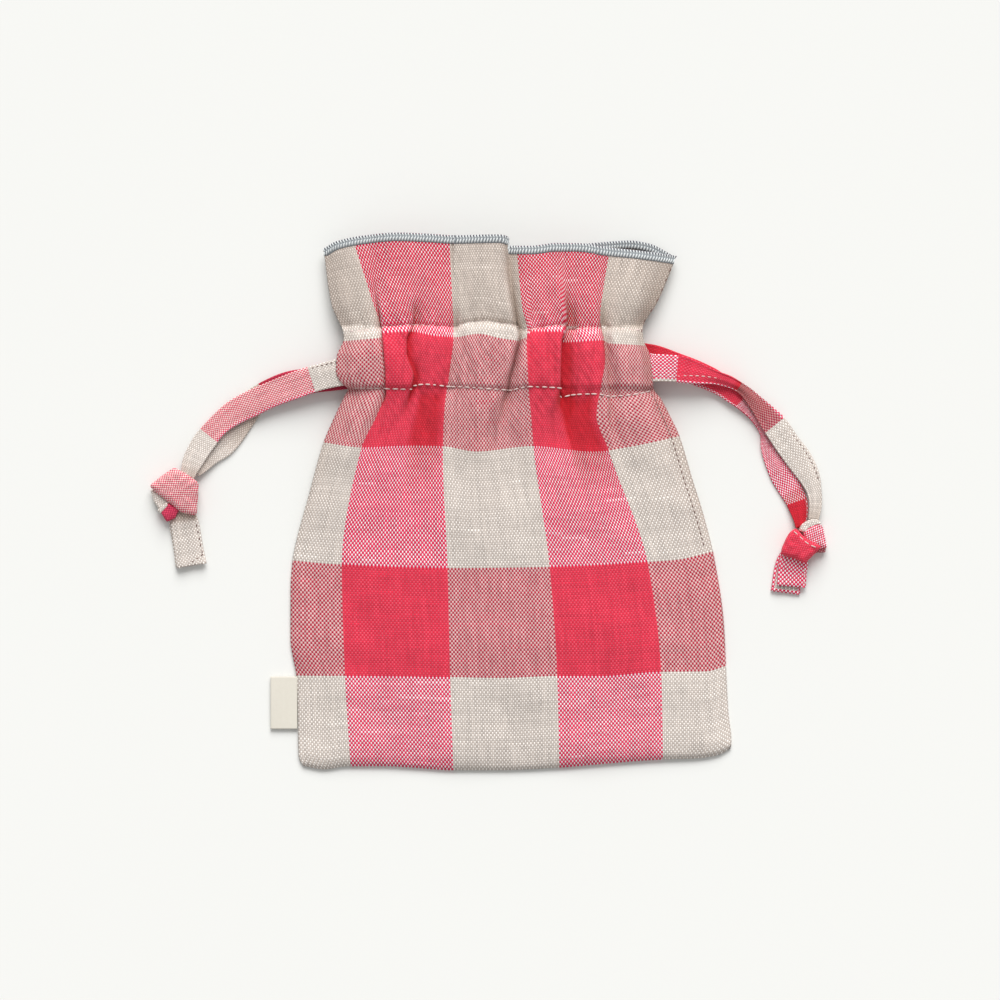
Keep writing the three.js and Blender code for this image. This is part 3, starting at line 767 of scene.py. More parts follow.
@dataclass(frozen=True)
class Lie:
    """Lines on the front of the pouch where it lies, in millimetres from its middle.

    A line up the pouch is pairs of height and place across, and a line across it is pairs of place
    across and height. The marks are the cloth coordinates of the edges and of the lines where the
    check changes over, and the row heights are about where the rows lie.
    """

    left_edge: Points = (
        (-104.5, -76.2), (-99.1, -79.0), (-77.6, -79.4), (-67.9, -79.8), (-59.7, -81.3), (-53.8, -82.1),
        (-33.9, -82.1), (-22.6, -81.3), (-16.4, -80.1), (2.0, -75.1), (23.0, -69.2), (31.5, -65.6),
        (36.7, -63.2), (41.5, -60.8), (44.2, -59.5), (46.0, -61.6), (48.1, -63.3), (50.6, -64.2),
        (56.7, -63.9), (60.9, -62.0), (63.5, -61.2), (66.3, -61.6), (70.3, -63.3), (77.2, -66.1),
        (98.3, -69.2),
    )
    right_edge: Points = (
        (-99.0, 88.0), (-96.0, 89.3), (-92.8, 89.5), (-81.5, 88.3), (-64.4, 87.4), (-46.0, 86.4),
        (-22.2, 82.9), (-6.6, 79.0), (9.8, 73.9), (25.4, 69.2), (34.3, 65.0), (40.5, 61.6), (43.2, 59.3),
        (45.2, 58.8), (52.8, 58.1), (58.5, 57.0), (61.4, 55.5), (64.6, 54.9), (67.1, 54.8), (78.0, 60.6),
        (92.0, 66.5), (97.0, 68.0),
    )
    columns: tuple[Points, ...] = (
        ((-103.7, -58.7), (-68.3, -60.8), (-25.3, -62.0), (20.7, -54.6), (34.0, -48.4), (43.7, -45.2),
         (56.0, -45.8), (66.7, -47.6), (100.2, -57.3)),
        ((-103.7, -18.5), (-68.3, -19.7), (-25.3, -20.7), (20.7, -22.6), (34.0, -22.2), (43.7, -21.3),
         (53.2, -19.8), (62.0, -18.6), (100.2, -19.9)),
        ((-103.7, 22.4), (-68.3, 21.5), (-25.3, 18.5), (20.7, 12.3), (34.0, 11.1), (43.7, 10.3),
         (58.5, 9.9), (66.0, 10.3), (76.0, 8.2), (96.0, 6.2)),
        ((-103.7, 63.0), (-68.3, 62.2), (-25.3, 57.1), (20.7, 40.8), (34.0, 36.1), (46.0, 37.4),
         (57.3, 39.6), (63.2, 39.6), (70.2, 37.2), (82.3, 39.2), (94.8, 41.5)),
    )
    bottom: Points = (
        (-77.0, -102.9), (-69.2, -104.1), (-60.6, -102.9), (-46.6, -102.8), (-34.5, -103.4), (-18.5, -104.4),
        (-0.6, -104.4), (22.4, -103.4), (38.4, -102.0), (62.6, -100.2), (75.9, -99.8), (84.0, -98.6),
        (89.1, -96.0),
    )
    rows: tuple[Points, ...] = (
        ((-79.8, -67.9), (-60.0, -67.9), (-19.7, -68.3), (-0.6, -68.6), (21.3, -67.9), (38.4, -67.9),
         (62.2, -66.3), (79.4, -66.3), (87.2, -64.2)),
        ((-80.9, -22.6), (-66.9, -23.8), (-20.1, -25.4), (18.5, -25.0), (57.5, -23.0), (68.4, -22.2),
         (82.1, -19.1)),
        ((-68.8, 23.0), (-54.4, 21.1), (-34.9, 21.8), (-22.4, 21.5), (-9.9, 19.5), (11.9, 21.6),
         (35.3, 19.5), (50.0, 21.4), (68.4, 25.4)),
        ((-60.6, 62.8), (-48.2, 64.0), (-46.3, 65.5), (-35.5, 66.4), (-24.6, 64.5), (-18.0, 64.2),
         (-9.0, 65.5), (-1.0, 63.6), (5.5, 62.8), (9.9, 64.0), (12.0, 66.3), (21.2, 66.3), (24.4, 62.2),
         (39.2, 63.0), (42.0, 61.8), (54.8, 61.0)),
    )
    hem: Points = (
        (-69.2, 98.6), (-63.8, 101.4), (-53.6, 103.4), (-40.8, 104.5), (-29.1, 104.1), (-17.0, 103.4),
        (-2.9, 103.7), (2.0, 102.8), (3.0, 99.5), (11.1, 99.3), (20.9, 100.4), (28.7, 100.4), (40.8, 98.8),
        (53.6, 97.5), (67.7, 95.8),
    )
    back_hem: Points = (
        (-69.2, 97.8), (-53.6, 101.6), (-40.8, 103.0), (-17.0, 102.0), (0.0, 98.6), (20.9, 99.4),
        (35.3, 100.7), (49.7, 101.7), (57.1, 100.6), (67.7, 95.4),
    )
    upper_stitch: Points = (
        (-61.4, 66.2), (-55.8, 66.4), (-48.2, 67.5), (-34.5, 68.8), (-18.5, 67.9), (-13.8, 69.5),
        (-7.6, 70.2), (-1.0, 69.3), (4.0, 68.3), (9.9, 66.7), (21.3, 68.7), (26.3, 67.1), (36.9, 67.5),
        (54.8, 66.7),
    )
    lower_stitch: Points = (
        (-60.0, 44.7), (-44.0, 44.1), (-35.9, 43.8), (-34.1, 45.2), (-29.3, 45.7), (-21.3, 44.9),
        (-14.6, 44.7), (-4.3, 43.8), (4.0, 43.4), (9.9, 44.8), (20.6, 44.2), (23.2, 40.9), (27.3, 41.6),
        (34.8, 42.0), (41.8, 41.1), (49.0, 41.6), (58.0, 43.6),
    )
    column_marks: tuple[float, ...] = (0.0, 19.5, 61.5, 103.5, 145.5, 171.0)
    row_marks: tuple[float, ...] = (0.0, 35.0, 78.5, 122.0, 165.5, 201.5)
    row_heights: tuple[float, ...] = (-103.0, -67.5, -24.0, 21.0, 64.0, 100.0)

    def across(self, s: Array, y: Array) -> Array:
        """Place cloth at a height: straight between the six lines up the pouch.

        Args:
            s: Cloth coordinates across, from 0 at the left seam.
            y: Heights, in the shape of s.

        Returns:
            Places across.
        """
        lines = [smooth_line(line, y) for line in (self.left_edge, *self.columns, self.right_edge)]
        return between(np.stack(lines), self.column_marks, s)

    def up(self, t: Array, x: Array, hem: Points) -> Array:
        """Place cloth up the pouch: straight between the bottom, the four check rows and the hem.

        Args:
            t: Cloth coordinates up from the bottom seam.
            x: Places across, in the shape of t.
            hem: The panel's own hem line.

        Returns:
            Heights along the pouch.
        """
        lines = [smooth_line(line, x) for line in (self.bottom, *self.rows, hem)]
        return between(np.stack(lines), self.row_marks, t)

    def place(self, s: Array, t: Array, hem: Points) -> tuple[Array, Array]:
        """Find where cloth lies, by turns from its height and its place across."""
        y = np.interp(t, self.row_marks, self.row_heights)
        x = self.across(s, y)
        for _ in range(3):
            y = self.up(t, x, hem)
            x = self.across(s, y)
        return x, y


@dataclass(frozen=True)
class Height:
    """Heights of the cloth above the table, in millimetres, worked out as in the solids.

    The dips are lines up the pouch between the seven folds. Crests, rises, falls, lows, left leans,
    hem shares and fades have a number for each fold, and dip lifts and fills one for each dip, with
    the two edges as the first and the last.
    """

    bottom: float = -104.5
    lower: float = 44.2
    upper: float = 68.4
    top: float = 104.5
    seam_body: float = 0.65
    seam_neck: float = 5.5
    neck: float = 11.1
    casing_bulge: float = 0.95
    ruffle_drop: float = 2.2
    mouth_sag: float = 0.6
    side_opening: float = 3.5
    dips: tuple[Points, ...] = (
        ((10.0, -57.0), (32.0, -48.9), (44.2, -44.6), (56.0, -45.0), (68.4, -46.4), (84.0, -50.0),
         (100.0, -52.5)),
        ((10.0, -40.0), (32.0, -37.2), (44.2, -35.5), (49.0, -34.5), (58.0, -37.3), (62.8, -37.3),
         (68.4, -34.9), (84.0, -33.0), (100.0, -31.0)),
        ((10.0, -21.0), (44.2, -20.5), (68.4, -18.6), (100.0, -18.6)),
        ((10.0, -3.5), (34.3, 0.5), (43.9, 2.0), (48.4, 2.9), (58.3, 5.5), (64.4, 6.8), (69.2, 5.5),
         (88.0, 2.9), (100.0, 2.4)),
        ((10.0, 27.0), (32.0, 23.2), (44.0, 22.4), (62.0, 22.6), (68.4, 24.8), (84.0, 25.5), (100.0, 23.9)),
        ((10.0, 49.0), (32.0, 43.3), (44.0, 41.8), (56.0, 40.3), (68.4, 38.8), (84.0, 40.0), (100.0, 41.5)),
    )
    crests: tuple[float, ...] = (3.3, 3.4, 3.0, 4.3, 4.6, 3.5, 3.7)
    dip_lifts: tuple[float, ...] = (0.3, 0.0, 0.3, 1.7, 0.0, 0.0, 0.3, 0.3)
    rises: tuple[float, ...] = (0.5, 0.2, 0.6, 0.5, 0.28, 0.62, 0.45)
    falls: tuple[float, ...] = (0.34, 0.22, 0.34, 0.2, 0.16, 0.3, 0.4)
    lows: tuple[float, ...] = (0.0, 0.02, 0.14, 0.05, 0.04, 0.24, 0.08)
    left_leans: tuple[float, ...] = (0.0, 0.5, 0.0, 0.0, 0.1, 0.0, 0.1)
    hem_shares: tuple[float, ...] = (0.45, 0.35, 0.4, 0.8, 0.5, 0.45, 0.4)
    fills: tuple[float, ...] = (0.0, 0.45, 0.96, 0.7, 0.0, 0.55, 0.45, 0.0)
    fades: tuple[float, ...] = (58.0, 20.0, 58.0, 36.0, 30.0, 58.0, 58.0)

    def neck_share(self, y: Array) -> Array:
        """Rise from 0 halfway up the body to 1 at the casing."""
        return smooth_step(self.bottom + 0.5 * (self.lower - self.bottom), self.lower, y)

    def seam(self, y: Array) -> Array:
        """Height of the side seams, which come down again beside the ruffle."""
        raised = (self.seam_neck - self.seam_body) * self.neck_share(y)
        return self.seam_body + raised - self.ruffle_drop * smooth_step(self.upper, self.top, y)

    def casing(self, y: Array) -> Array:
        """Give 1 inside the casing and 0 outside, softly over 1.5 mm."""
        return np.clip(np.minimum(y - self.lower, self.upper - y) / 1.5, 0.0, 1.0)

    def front_base(self, a: Array, y: Array) -> Array:
        """Height of the front cloth without folds.

        Up the body it rises as 1 - (1 - r) to the power 2.2 and stays level over the neck. Across, it
        falls to the seams as 1 - |a| to a power from 3.5 in the body to 6 at the neck.
        """
        r = np.clip((y - self.bottom) / (self.lower - self.bottom), 0.0, 1.0)
        sag = self.mouth_sag * np.clip((y - self.upper) / (self.top - self.upper), 0.0, 1.0)
        low = self.seam_body + 0.4
        top = low + (self.neck - low) * (1 - (1 - r) ** 2.2) - sag + self.casing_bulge * self.casing(y)
        edge = self.seam(y) + 0.3 + (self.side_opening - 0.3) * self.casing(y)
        fall = np.abs(a) ** (3.5 + 2.5 * self.neck_share(y))
        return top + (edge - top) * fall

    def strength(self, y: Array, fade: Array | float = 58.0) -> Array:
        """How far the cloth is gathered: 1 at the neck, 1 - depth over fade to the power 1.5 below."""
        below = np.clip(1 - (self.lower - y) / fade, 0.0, 1.0) ** 1.5
        return np.where(y < self.lower, below, 1.0)

    def folds(self, x: Array, y: Array, left: Array, right: Array) -> tuple[Array, Array]:
        """Height of the folds, and how far they lean to the right.

        Between two dips the phase p goes from 0 to 1. A fold stays low over its low share, rises as the
        sine of a quarter turn up to its rise share, to the power 0.8, stays level, and falls over its
        fall share as the sine of a quarter turn from the next dip: steep where the share is small, and
        leaning there, so that it lies over what is beside it. Both shares move to one half as the
        fold fades, which each fold does over a length of its own. The dips' own lifts are added with
        a soft step between them, and above the casing each dip fills up by its share within 12 mm.

        Args:
            x: Places across.
            y: Heights along the pouch.
            left: The left edge at these heights.
            right: The right edge at these heights.

        Returns:
            The height of the fold, and its lean.
        """
        lines = np.stack([left, *[smooth_line(line, y) for line in self.dips], right])
        k = np.clip((x[None] >= lines[1:-1]).sum(axis=0), 0, len(self.crests) - 1)
        low = np.take_along_axis(lines, k[None], axis=0)[0]
        high = np.take_along_axis(lines, k[None] + 1, axis=0)[0]
        p = np.clip((x - low) / np.maximum(high - low, 0.1), 0.0, 1.0)
        share = 1 + (np.array(self.hem_shares)[k] - 1) * smooth_step(self.upper, self.top, y)
        keep = self.strength(y, np.array(self.fades)[k]) * share
        low_share = np.array(self.lows)[k] * keep
        rise = 0.5 + (np.array(self.rises)[k] - 0.5) * keep
        fall = 0.5 + (np.array(self.falls)[k] - 0.5) * keep
        up = np.sin(np.pi / 2 * np.clip((p - low_share) / (rise - low_share), 0.0, 1.0))
        down = np.sin(np.pi / 2 * np.clip((1 - p) / fall, 0.0, 1.0))
        wave = (up * down) ** (2.0 - 1.2 * keep)
        crests, lifts, fills = np.array(self.crests), np.array(self.dip_lifts), np.array(self.fills)
        beside = np.minimum(np.append(crests, crests[-1]), np.append(crests[0], crests))
        filled = fills * (beside - lifts)
        above = smooth_step(self.upper + 1.0, self.upper + 12.0, y)
        left_lift = lifts[k] + filled[k] * above
        right_lift = lifts[k + 1] + filled[k + 1] * above
        lift = (left_lift + (right_lift - left_lift) * smooth_step(0.0, 1.0, p)) * self.strength(y) * share
        crest = crests[k] * keep
        over_right = np.maximum(crest - right_lift * keep, 0.0) * smooth_step(0.3, 0.95, p)
        over_left = np.maximum(crest - left_lift * keep, 0.0) * (1 - smooth_step(0.05, 0.5, p))
        lean = wave * (0.5 * over_right - np.array(self.left_leans)[k] * over_left)
        return lift + np.maximum(crest - lift, 0.0) * wave, lean


def puckers(x: Array, y: Array, line: Points, count: int, seed: int, span: tuple[float, float],
            reach: float, depth: float) -> Array:
    """Small creases across a stitch line, where the thread has drawn the cloth in.

    Each is a valley along y: minus its depth times a bell across x and a fall away from the line.

    Args:
        x: Places across.
        y: Heights along the pouch.
        line: The stitch line.
        count: How many creases there are.
        seed: Picks their places and sizes.
        span: The places across between which they lie.
        reach: How far they run from the line, on average.
        depth: How deep they are, on average.

    Returns:
        What they add to the height, zero or less.
    """
    draw = np.random.RandomState(seed)
    away = y - smooth_line(line, x)
    total = np.zeros_like(x)
    spots = np.linspace(*span, count) + draw.uniform(-1.2, 1.2, count)
    ranges = ((0.55, 1.1), (0.4, 1.5), (0.6, 1.5), (-0.15, 0.15))
    sizes = [draw.uniform(least, most, count) for least, most in ranges]
    for spot, wide, deep, far, drift in zip(spots, *sizes):
        bell = np.exp(-(((x - spot - drift * away) / wide) ** 2))
        total -= depth * deep * bell * np.exp(-np.abs(away) / (reach * far))
    return total


# The sewn pouch

@dataclass
class SewnPouch:
    """Both panels, the casing strips, the stitching and the overlocked mouth.

    Lengths are in millimetres. The body waves are triples of height, wavelength and seed, and the
    hollows below the casing are triples of first and last coordinate across, and depth share.
    """

    finishes: Finishes
    lie: Lie = field(default_factory=Lie)
    height: Height = field(default_factory=Height)
    cloth: float = 0.55
    columns: int = 252
    edge_puff: float = 1.3
    casing_puff: float = 1.6
    puff_top: float = 0.2
    stitch_dip: float = 0.9
    drawn_in: float = 1.2
    lower_share: float = 0.12
    body_waves: tuple[tuple[float, float, int], ...] = ((0.45, 46.0, 3), (0.16, 17.0, 9))
    overlock_deep: float = 3.2
    overlock_thick: float = 0.62
    loop_pitch: float = 1.16
    loop_radius: float = 0.33
    wound_radius: float = 0.2
    wound_steps: int = 14
    edge_span: tuple[float, float] = (0.4, 170.6)
    stitch: float = 2.4
    stitch_pitch: float = 3.05
    hollows: tuple[tuple[float, float, float], ...] = ((122.0, 148.0, 1.0), (41.0, 63.0, 0.9))
    hollow_depth: float = 1.2
    # How much painted shade the hollows get, beside their real dip.
    hollow_shade: float = 0.72

    def heights(self) -> Array:
        """Choose grid rows: 2 mm apart in the body and 0.7 mm apart from the folds up."""
        body, neck = np.arange(0.0, FOLDS_FROM, 2.0), np.linspace(FOLDS_FROM, CLOTH_HEIGHT, 114)
        return np.concatenate([body, neck])

    def spot(self, s: Array, t: Array, hem: Points) -> tuple[Array, ...]:
        """Find where a panel's cloth lies, seen from above.

        Args:
            s: Coordinates across.
            t: Coordinates up.
            hem: The panel's own hem line.

        Returns:
            Places across and up, both edges there, and the place from -1 to 1 between the edges.
        """
        x, y = self.lie.place(s, t, hem)
        left, right = smooth_line(self.lie.left_edge, y), smooth_line(self.lie.right_edge, y)
        return x, y, left, right, np.clip(2 * (x - left) / (right - left) - 1, -1.0, 1.0)

    def front_point(self, s: Array, t: Array) -> Array:
        """Work out the front cloth's middle surface from cloth coordinates.

        Its height is the cloth's without folds, plus the folds, plus the casing's puff: 1 minus the
        share of the way from its top to the stitch line, to the power 1.5 below and 2.3 above. Off
        that come a bell at each stitch line, a dip outside it that fades along an exponential, the
        puckers and the hollows. The body's edge puffs up along 1 minus an exponential of the
        distance to the nearest seam, and soft waves lie over body, ruffle and gathers. Folds move
        the cloth to the side by their lean.

        Args:
            s: Coordinates across.
            t: Coordinates up.

        Returns:
            Points in millimetres, in the shape of s with an axis of three added.
        """
        x, y, left, right, a = self.spot(s, t, self.lie.hem)
        fold, lean = self.height.folds(x, y, left, right)
        edge = 1 - np.abs(a) ** 10
        z = self.height.front_base(a, y) + fold * edge
        upper = y - smooth_line(self.lie.upper_stitch, x)
        lower = y - smooth_line(self.lie.lower_stitch, x)
        from_top = (upper + lower) / (lower - upper) - self.puff_top
        down_to_lower = 1 - np.abs(from_top / (1 + self.puff_top)) ** 1.5
        up_to_upper = 1 - np.abs(from_top / (1 - self.puff_top)) ** 2.3
        z += self.casing_puff * np.clip(np.where(from_top < 0, down_to_lower, up_to_upper), 0.0, 1.0) * edge
        bells = np.exp(-((upper / 0.9) ** 2)) + self.lower_share * np.exp(-((lower / 0.9) ** 2))
        z -= self.stitch_dip * bells * edge
        z -= self.drawn_in * np.exp(-np.maximum(upper, 0.0) / 6.0) * smooth_step(-1.5, 0.0, upper) * edge
        below = np.exp(-np.maximum(-lower, 0.0) / 5.0)
        z -= self.lower_share * self.drawn_in * below * smooth_step(-4.0, 0.0, -lower) * edge
        z += puckers(x, y, self.lie.upper_stitch, 34, 5, (-58.0, 53.0), 3.0, 0.75) * edge
        z += puckers(x, y, self.lie.lower_stitch, 38, 8, (-57.0, 57.0), 4.0, 0.6) * edge
        z -= self.hollow_depth * self.hollow(s, t)
        body = 1 - smooth_step(20.0, 60.0, y)
        from_side = np.minimum(x - left, right - x)
        from_bottom = y - smooth_line(self.lie.bottom, x)
        inside = 1 - np.exp(-np.minimum(from_side, from_bottom) / 2.6)
        z += self.edge_puff * body * inside
        for high, wavelength, seed in self.body_waves:
            z += high * body * inside * soft_waves(x, y, wavelength, seed)
        ripple = soft_waves(x * 0.2, y, 9.0, 14) * np.exp(-from_side / 5.0)
        z += 0.22 * ripple * body * inside
        ruffle = smooth_step(66.0, 80.0, y)
        z += 0.3 * ruffle * soft_waves(x, y * 0.4, 12.0, 21) * edge
        gathered = self.height.strength(y)
        z += 0.3 * gathered * (1 - 0.6 * ruffle) * soft_waves(x, y * 0.3, 5.2, 33) * edge
        z += 0.13 * gathered * (1 - 0.6 * ruffle) * soft_waves(x + 0.4 * y, y * 0.5, 2.6, 41) * edge
        towards_side = 1 + 3.0 * np.abs(a) ** 6
        drop = 0.25 * np.exp(-(((lower - 1.9) / 1.6) ** 2)) * towards_side * (1 - np.abs(a) ** 30)
        return np.stack([x + lean * edge, y - drop, z], axis=-1)

    def back_point(self, s: Array, t: Array) -> Array:
        """Work out the back cloth's middle surface from cloth coordinates.

        It is flat on the table and rises to the seams as the place from -1 to 1, to the power 6. At
        the neck it has folds of its own, half of 1 minus a cosine with seven turns, and it lifts off
        a little at the mouth.

        Args:
            s: Coordinates across.
            t: Coordinates up.

        Returns:
            Points in millimetres, in the shape of s with an axis of three added.
        """
        x, y, _, _, a = self.spot(s, t, self.lie.back_hem)
        seam = self.height.seam(y) - 0.3 - (self.height.side_opening - 0.3) * self.height.casing(y)
        z = 0.3 + np.maximum(seam - 0.3, 0.0) * np.abs(a) ** 6
        share = (a + 1) / 2
        wave = 0.5 - 0.5 * np.cos(2 * np.pi * 7 * (share + 0.03 * np.sin(9 * share)))
        risen = 1.7 * self.height.strength(y) * smooth_step(0.0, self.height.lower, y)
        z += risen * wave * (1 - np.abs(a) ** 8)
        z += 2.4 * smooth_step(80.0, 103.0, y) * (1 - np.abs(a) ** 10)
        return np.stack([x, y, z], axis=-1)

    def sheet(self, point: Callable[[Array, Array], Array], s: Array, t: Array) -> Solid:
        """Make a closed sheet of a surface, with painted shade beside folds, a little towards the casing and
        more in the ruffle.
        """
        across, up = np.meshgrid(s, t)
        solid = cloth_sheet(point(across, up), np.stack([across, up], axis=-1), self.cloth)
        # Painted shade: a little towards the casing and more in the ruffle.
        painted_dim = (0.07 * smooth_step(95.0, 130.0, up) + 0.42 * smooth_step(168.5, 172.0, up)).ravel()
        solid.shade = np.clip(0.78 * solid.shade + np.concatenate([painted_dim, painted_dim]), 0.0, 1.0)
        return solid

    def hollow(self, s: Array, t: Array) -> Array:
        """Say how far the front cloth is in one of the shallow hollows below the casing.

        Args:
            s: Coordinates across.
            t: Coordinates up.

        Returns:
            From 0 outside to each hollow's share inside, softly over a few millimetres.
        """
        up = smooth_step(98.0, 128.0, t) * (1 - smooth_step(140.0, 146.5, t))
        inside = np.zeros_like(s)
        for first, last, share in self.hollows:
            inside += share * smooth_step(first, first + 5.0, s) * (1 - smooth_step(last - 8.0, last, s))
        return up * inside

    def panels(self) -> list[bpy.types.Object]:
        """Build the front and back panels."""
        s, t = np.linspace(0.0, CLOTH_WIDTH, self.columns), self.heights()
        sheet = self.sheet(self.front_point, s, t)
        # Painted shade in the hollows below the casing, beside their real dip.
        shade = self.hollow_shade * self.hollow(*np.meshgrid(s, t)).ravel()
        sheet.shade = np.clip(sheet.shade + np.concatenate([shade, shade]), 0.0, 1.0)
        front = sheet.piece("front_cloth", self.finishes.check)
        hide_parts("front_panel")
        back = self.sheet(self.back_point, np.linspace(0.0, CLOTH_WIDTH, 132), t[::2]).piece(
            "back_cloth", self.finishes.check)
        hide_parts("back_panel")
        return [front, back]

    def strips(self) -> list[bpy.types.Object]:
        """Dress the casing strips, which the solids already shape."""
        return [dress_node(node, ALL_NATURAL) for node in ("front_casing_strip", "back_casing_strip")]

    def edge_line(self, point: Callable[[Array, Array], Array], count: int) -> tuple[Array, Array, Array]:
        """Follow a panel's mouth edge.

        Args:
            point: The panel's surface.
            count: How many points to give.

        Returns:
            Points on the edge, unit vectors down the cloth, and unit normals.
        """
        s = np.linspace(*self.edge_span, 700)
        length = lengths_along(point(s, np.full_like(s, CLOTH_HEIGHT)))
        even = np.interp(np.linspace(0.0, length[-1], count), length, s)
        top = point(even, np.full_like(even, CLOTH_HEIGHT))
        below = point(even, np.full_like(even, CLOTH_HEIGHT - 3.5))
        along = unit(np.gradient(top, axis=0))
        down = unit(below - top)
        return top, down, unit(np.cross(down, along))

    def overlock(self, point: Callable[[Array, Array], Array], name: str,
                 node: str) -> list[bpy.types.Object]:
        """Build the thread over a raw edge: a band, a thread wound round it, and two rows of loops.

        The wound thread is a flattened helix: across the band it goes as half the depth times
        1 - cos, off the band as the thickness times sin, with one turn for each pitch. The loops lie
        on top, slanting one way at the edge and the other way further down the cloth, and a short
        dark bead is painted shade in the gap between each two loops at the edge.

        Args:
            point: The panel's surface.
            name: Start of the pieces' names.
            node: The solid that the band replaces.

        Returns:
            The band, its wound thread, its loops and the painted gap shade.
        """
        top, down, _ = self.edge_line(point, 420)
        section = np.array([
            (self.overlock_deep, -0.42), (self.overlock_deep, 0.42), (1.5, 0.5), (0.2, 0.42), (-0.1, 0.0),
            (0.2, -0.42), (1.5, -0.5),
        ])
        band = sweep(top, down, section[::-1]).piece(f"{name}_band", self.finishes.grey_band)
        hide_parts(node)
        length = np.linalg.norm(np.diff(top, axis=0), axis=1).sum()
        turns = int(length / self.loop_pitch)
        steps = turns * self.wound_steps
        top, down, normal = self.edge_line(point, steps)
        angle = 2 * np.pi * turns * np.linspace(0.0, 1.0, steps)
        deep = self.overlock_deep / 2 * (1 - np.cos(angle)) - 0.05
        off = self.overlock_thick * np.sin(angle)
        path = top + deep[:, None] * down + off[:, None] * normal
        sides = unit(np.gradient(top, axis=0))
        wound = sweep(path, sides, round_section(self.wound_radius, 5)).piece(
            f"{name}_wound", self.finishes.grey_band)
        top, down, normal = self.edge_line(point, turns)
        sides = unit(np.gradient(top, axis=0))
        outer, inner = (
            beads(top + far * down + off * normal, unit(down + slant * sides), normal, long, self.loop_radius)
            for far, off, slant, long in ((0.62, 0.5, 0.5, 1.6), (2.1, 0.6, -0.35, 2.1))
        )
        loops = outer.join(inner).piece(f"{name}_loops", self.finishes.grey_thread)
        # Painted shade: short dark beads in the gaps between the loops at the edge.
        half = sides * self.loop_pitch / 2
        gaps = beads(top + 0.2 * down + 0.5 * normal + half, down, normal, 0.75, 0.24).piece(
            f"{name}_gaps", self.finishes.gap_shade)
        return [band, wound, loops, gaps]

    def on_front(self, line: Points, span: tuple[float, float],
                 spare: float) -> tuple[Array, Array, Array]:
        """Find stitches along a line on the front cloth.

        Args:
            line: Places across and heights of the stitch line.
            span: Cloth coordinates across between which the stitches run.
            spare: How high a stitch's middle is above the cloth's middle.

        Returns:
            Middles, unit vectors along, and unit normals.
        """
        s = np.linspace(*span, 900)
        t = np.full_like(s, float(np.interp(line[4][1], self.lie.row_heights, self.lie.row_marks)))
        for _ in range(6):
            x, y = self.lie.place(s, t, self.lie.hem)
            t += (smooth_line(line, x) - y) * 0.95
        points = self.front_point(s, t)
        length = lengths_along(points)
        marks = np.arange(self.stitch_pitch / 2, length[-1], self.stitch_pitch)
        place = points_at(marks, length, points)
        along = unit(points_at(marks, length, np.gradient(points, length, axis=0)))
        up = unit(np.cross(along, np.array([0.0, 1.0, 0.0])))
        up = np.where(up[:, 2:] < 0, -up, up)
        return place + up * spare, along, up

    def stitching(self) -> list[bpy.types.Object]:
        """Lay the two stitch lines of the casing on the front, and the same on the back."""
        made = []
        for name, line, raised, back_row in (
            ("upper", self.lie.upper_stitch, 0.05, 168.9),
            ("lower", self.lie.lower_stitch, 0.3, 145.4),
        ):
            place, along, up = self.on_front(line, (3.0, 168.0), self.cloth / 2 + raised)
            solid = beads(place, along, up, self.stitch, 0.29)
            s = np.arange(4.0, 167.0, self.stitch_pitch)
            under = self.back_point(s, np.full_like(s, back_row))
            along = unit(np.gradient(under, axis=0))
            down = np.broadcast_to(-UPWARDS, under.shape)
            solid = solid.join(beads(under - 0.12 * UPWARDS, along, down, self.stitch, 0.2))
            piece = solid.piece(f"{name}_casing_stitches", self.finishes.pale_thread)
            made.append(piece)
        return made

    def seam_stitches(self) -> bpy.types.Object:
        """Lay the dark stitches up the right side: beside the body's seam, and on the ruffle's edge."""
        parts = []
        for s, t in ((168.0, np.arange(82.0, 146.0, 2.1)), (170.5, np.arange(171.0, 197.0, 4.1))):
            here = self.front_point(np.full_like(t, s), t)
            along = unit(self.front_point(np.full_like(t, s), t + 0.4) - here)
            up = unit(np.cross(here - self.front_point(np.full_like(t, s - 0.4), t), along))
            parts.append(beads(here + up * (self.cloth / 2 + 0.03), along, up, 1.6, 0.21))
        piece = parts[0].join(parts[1]).piece("side_seam_stitches", self.finishes.dark_thread)
        return piece

    def build(self) -> list[bpy.types.Object]:
        """Build everything that is sewn."""
        made = self.panels() + self.strips() + self.stitching() + [self.seam_stitches()]
        made += self.overlock(self.front_point, "front_overlock", "front_hem_overlock")
        made += self.overlock(self.back_point, "back_overlock", "back_hem_overlock")
        return made


# Tapes, knots and label

class Cloth(Enum):
    NATURAL = (300.0, 300.0)
    BROWN = (300.0, 100.0)
    RED = (100.0, 100.0)
    PINK = (100.0, 300.0)


@dataclass(frozen=True)
class Stretch:
    """A length of tape of one patch of the check, with other patches at its rims where it is turned in.

    The low rim is on the right of someone who goes from the casing to the knot, and the high rim on
    the left.
    """

    length: float
    cloth: Cloth
    low_rim: Cloth | None = None
    high_rim: Cloth | None = None


